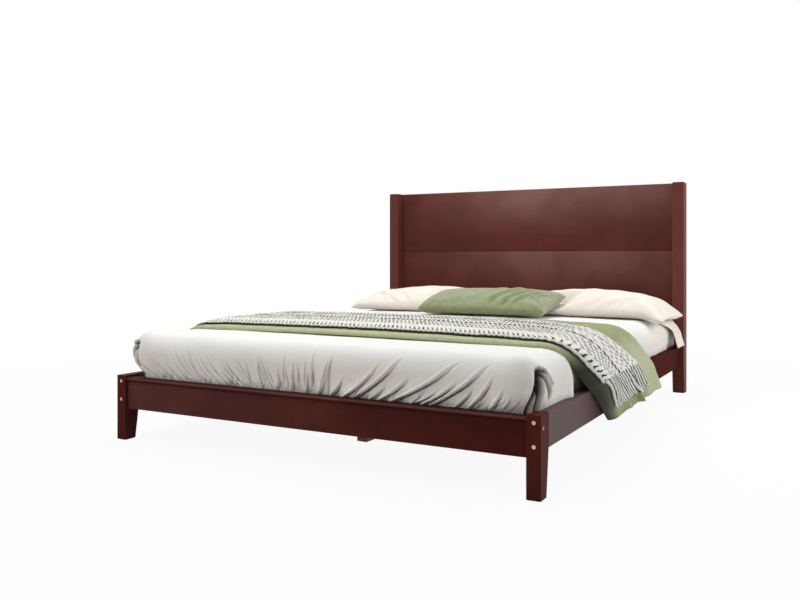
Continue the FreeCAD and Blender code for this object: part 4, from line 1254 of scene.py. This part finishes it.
def make_bed_pillow(name, centre_x):
    case = f"cream_pillow_{name}"
    piece = sew_pillow(case, PILLOW_SIZE, 0.035, 0.62, 84, 54, cream_cotton, "bed_pillows")
    plump(piece, 3.0, 0.014)
    hand = 1 if centre_x > 0 else -1

    def lie(p):
        x, y, z = p.T
        z = np.maximum(z, 0.0)
        thick = smooth(0.02, 0.06, z)
        z = z + 0.004 * ripple(x * 2.0, y, 0.22, 51 + hand) * thick
        out = x * hand
        z = z + creased(out, y, PILLOW_CREASES) * thick
        x, y = x + centre_x, y + pillow_y
        room = np.maximum(under_accent(x, y), 0.004)
        z = np.minimum(z, room) - 0.006 * bump(z - room, 0.016)
        z = np.maximum(z, 0.0)
        over = np.clip(np.abs(x) - PILLOW_SIDE, 0, None)
        z = z - PILLOW_DROOP * over * smooth(0, 0.09, over)
        return np.stack([x, y, z + pillow_floor], axis=1)

    settle(piece, lie)
    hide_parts(f"pillow_{name}")


# The loose end of the right pillowcase, which hangs over the mattress's edge
FLAP_THICKNESS = 0.003
FLAP_START, FLAP_END = 0.705, 0.886
FLAP_WIDTH = 0.30
FLAP_FRONT = ((0.705, 1.600), (0.735, 1.700), (0.800, 1.851), (0.886, 1.838))
FLAP_BACK = ((0.705, 2.000), (0.750, 2.016), (0.800, 2.016), (0.886, 1.985))


def flap_under(u, distance, width):
    hang = smooth(0.74, 0.83, u)
    folds = 0.5 + 0.5 * np.sin(math.tau * distance / width * 2.4 + 0.8)
    return 0.004 + 0.002 * (1 + ripple(u, distance * 2.0, 0.09, 61)) + (0.006 + 0.014 * folds) * hang


def flap_over(u, distance, width):
    return flap_under(u, distance, width) + FLAP_THICKNESS


def make_case_corner():
    u = np.linspace(FLAP_START, FLAP_END, 48)
    piece = make_throw(
        "pillowcase_corner", u, FLAP_FRONT, FLAP_BACK, lambda u: 0.006 + 0 * u, 40,
        flap_under, flap_over, cream_cotton, "bed_pillows", FLAP_WIDTH,
    )


def make_accent():
    piece = sew_pillow("green_accent_pillow", ACCENT_SIZE, 0.03, 0.30, 80, 46, green_satin, "accent_pillow")
    plump(piece, 3.5, 0.012)

    def lean(p):
        x, y, z = p.T
        z = np.maximum(z, 0.0) + creased(x, y, ACCENT_CREASES) * smooth(0.030, 0.055, z)
        y = y + ACCENT_SIZE[1] / 2
        back = y * math.cos(ACCENT_TILT) - z * math.sin(ACCENT_TILT)
        up = np.maximum(y * math.sin(ACCENT_TILT) + z * math.cos(ACCENT_TILT), 0.0)
        return np.stack([x + ACCENT_X, accent_y + back, pillow_floor + up], axis=1)

    settle(piece, lean)
    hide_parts("accent_pillow")


make_mattress()
make_cover()
make_blanket()
make_knit_throw()
for name, centre_x in PILLOW_PLACES.items():
    make_bed_pillow(name, centre_x)
make_case_corner()
make_accent()

# Floor, white to the eye but still darkened by the bed's shadow
FLOOR_HALF = 14.0
FLOOR_WHITE = 0.93


def make_floor():
    f = Finish("floor")
    speck = f.noise(3.0)
    f.set(Base_Color=f.mix(speck, (0.80, 0.80, 0.80), (0.82, 0.82, 0.82)), Roughness=0.9)
    glow = f.node("Emission", None, {"Color": (1.0, 1.0, 1.0), "Strength": 1.0})
    away = f.node("VectorMath", {"operation": "LENGTH"}, {0: f.place()}, "Value")
    share = f.seen() * (FLOOR_WHITE + (1 - FLOOR_WHITE) * f.spread(away, 1.8, 3.2))
    mixed = f.node("MixShader", None, {0: share, 1: Wire(f, f.surface.outputs[0]), 2: glow})
    f.feed(f.tree.nodes["Material Output"].inputs[0], mixed)
    mesh = bpy.data.meshes.new("floor")
    half = FLOOR_HALF
    corners = [(-half, -half, 0), (half, -half, 0), (half, half, 0), (-half, half, 0)]
    mesh.from_pydata(corners, [], [(0, 1, 2, 3)])
    mesh.materials.append(f.material)
    floor = add_object("floor", mesh)


SKY_LIGHT = 0.30


def make_sky():
    """White to the eye and to reflections; a soft grey as a source of light."""
    f = Finish("studio", bpy.data.worlds.new("studio"))
    scene.world = f.material
    f.set(Color=(1.0, 1.0, 1.0), Strength=SKY_LIGHT)
    white = f.node("Background", None, {"Color": (1.0, 1.0, 1.0), "Strength": 1.0})
    chosen = f.node("MixShader", None, {0: f.seen(), 1: Wire(f, f.surface.outputs[0]), 2: white})
    f.feed(f.tree.nodes["World Output"].inputs[0], chosen)


def make_lamp(name, place, aim, size, power):
    """A soft box at a place, turned to a spot it aims at, with two sizes and a power in watts."""
    light = bpy.data.lights.new(name, "AREA")
    light.shape = "RECTANGLE"
    light.size, light.size_y = size
    light.energy = power
    lamp = add_object(name, light)
    lamp.location = place
    lamp.rotation_euler = (Vector(aim) - Vector(place)).to_track_quat("-Z", "Y").to_euler()


make_floor()
make_sky()
make_lamp("top_box", (-0.3, 0.8, 3.2), (0, 0.4, 0.3), (3.4, 2.6), 65)
make_lamp("front_box", (-0.9, -1.8, 3.1), (-0.1, -0.6, 0.3), (3.0, 2.0), 56)
make_lamp("right_box", (3.2, 0.9, 1.7), (0.6, 0.0, 0.3), (2.2, 1.8), 48)

# Camera at the photograph's place: level, with the frame shifted
FOCAL_PIXELS = 827.6
IMAGE_WIDTH = 800.0
CAMERA_PLACE = (1.5286, -3.1745, 0.6553)
CAMERA_TURN = math.radians(29.187)
SENSOR_WIDTH = 36.0
LENS_SHIFT = (0.0091, -0.0532)
lens = bpy.data.cameras.new("camera")
lens.sensor_width = SENSOR_WIDTH
lens.lens = SENSOR_WIDTH * FOCAL_PIXELS / IMAGE_WIDTH
lens.shift_x, lens.shift_y = LENS_SHIFT
camera = add_object("camera", lens)
camera.location = CAMERA_PLACE
camera.rotation_euler = (math.pi / 2, 0, CAMERA_TURN)
scene.camera = camera
scene.view_settings.view_transform = "Standard"

bpy.context.view_layer.update()
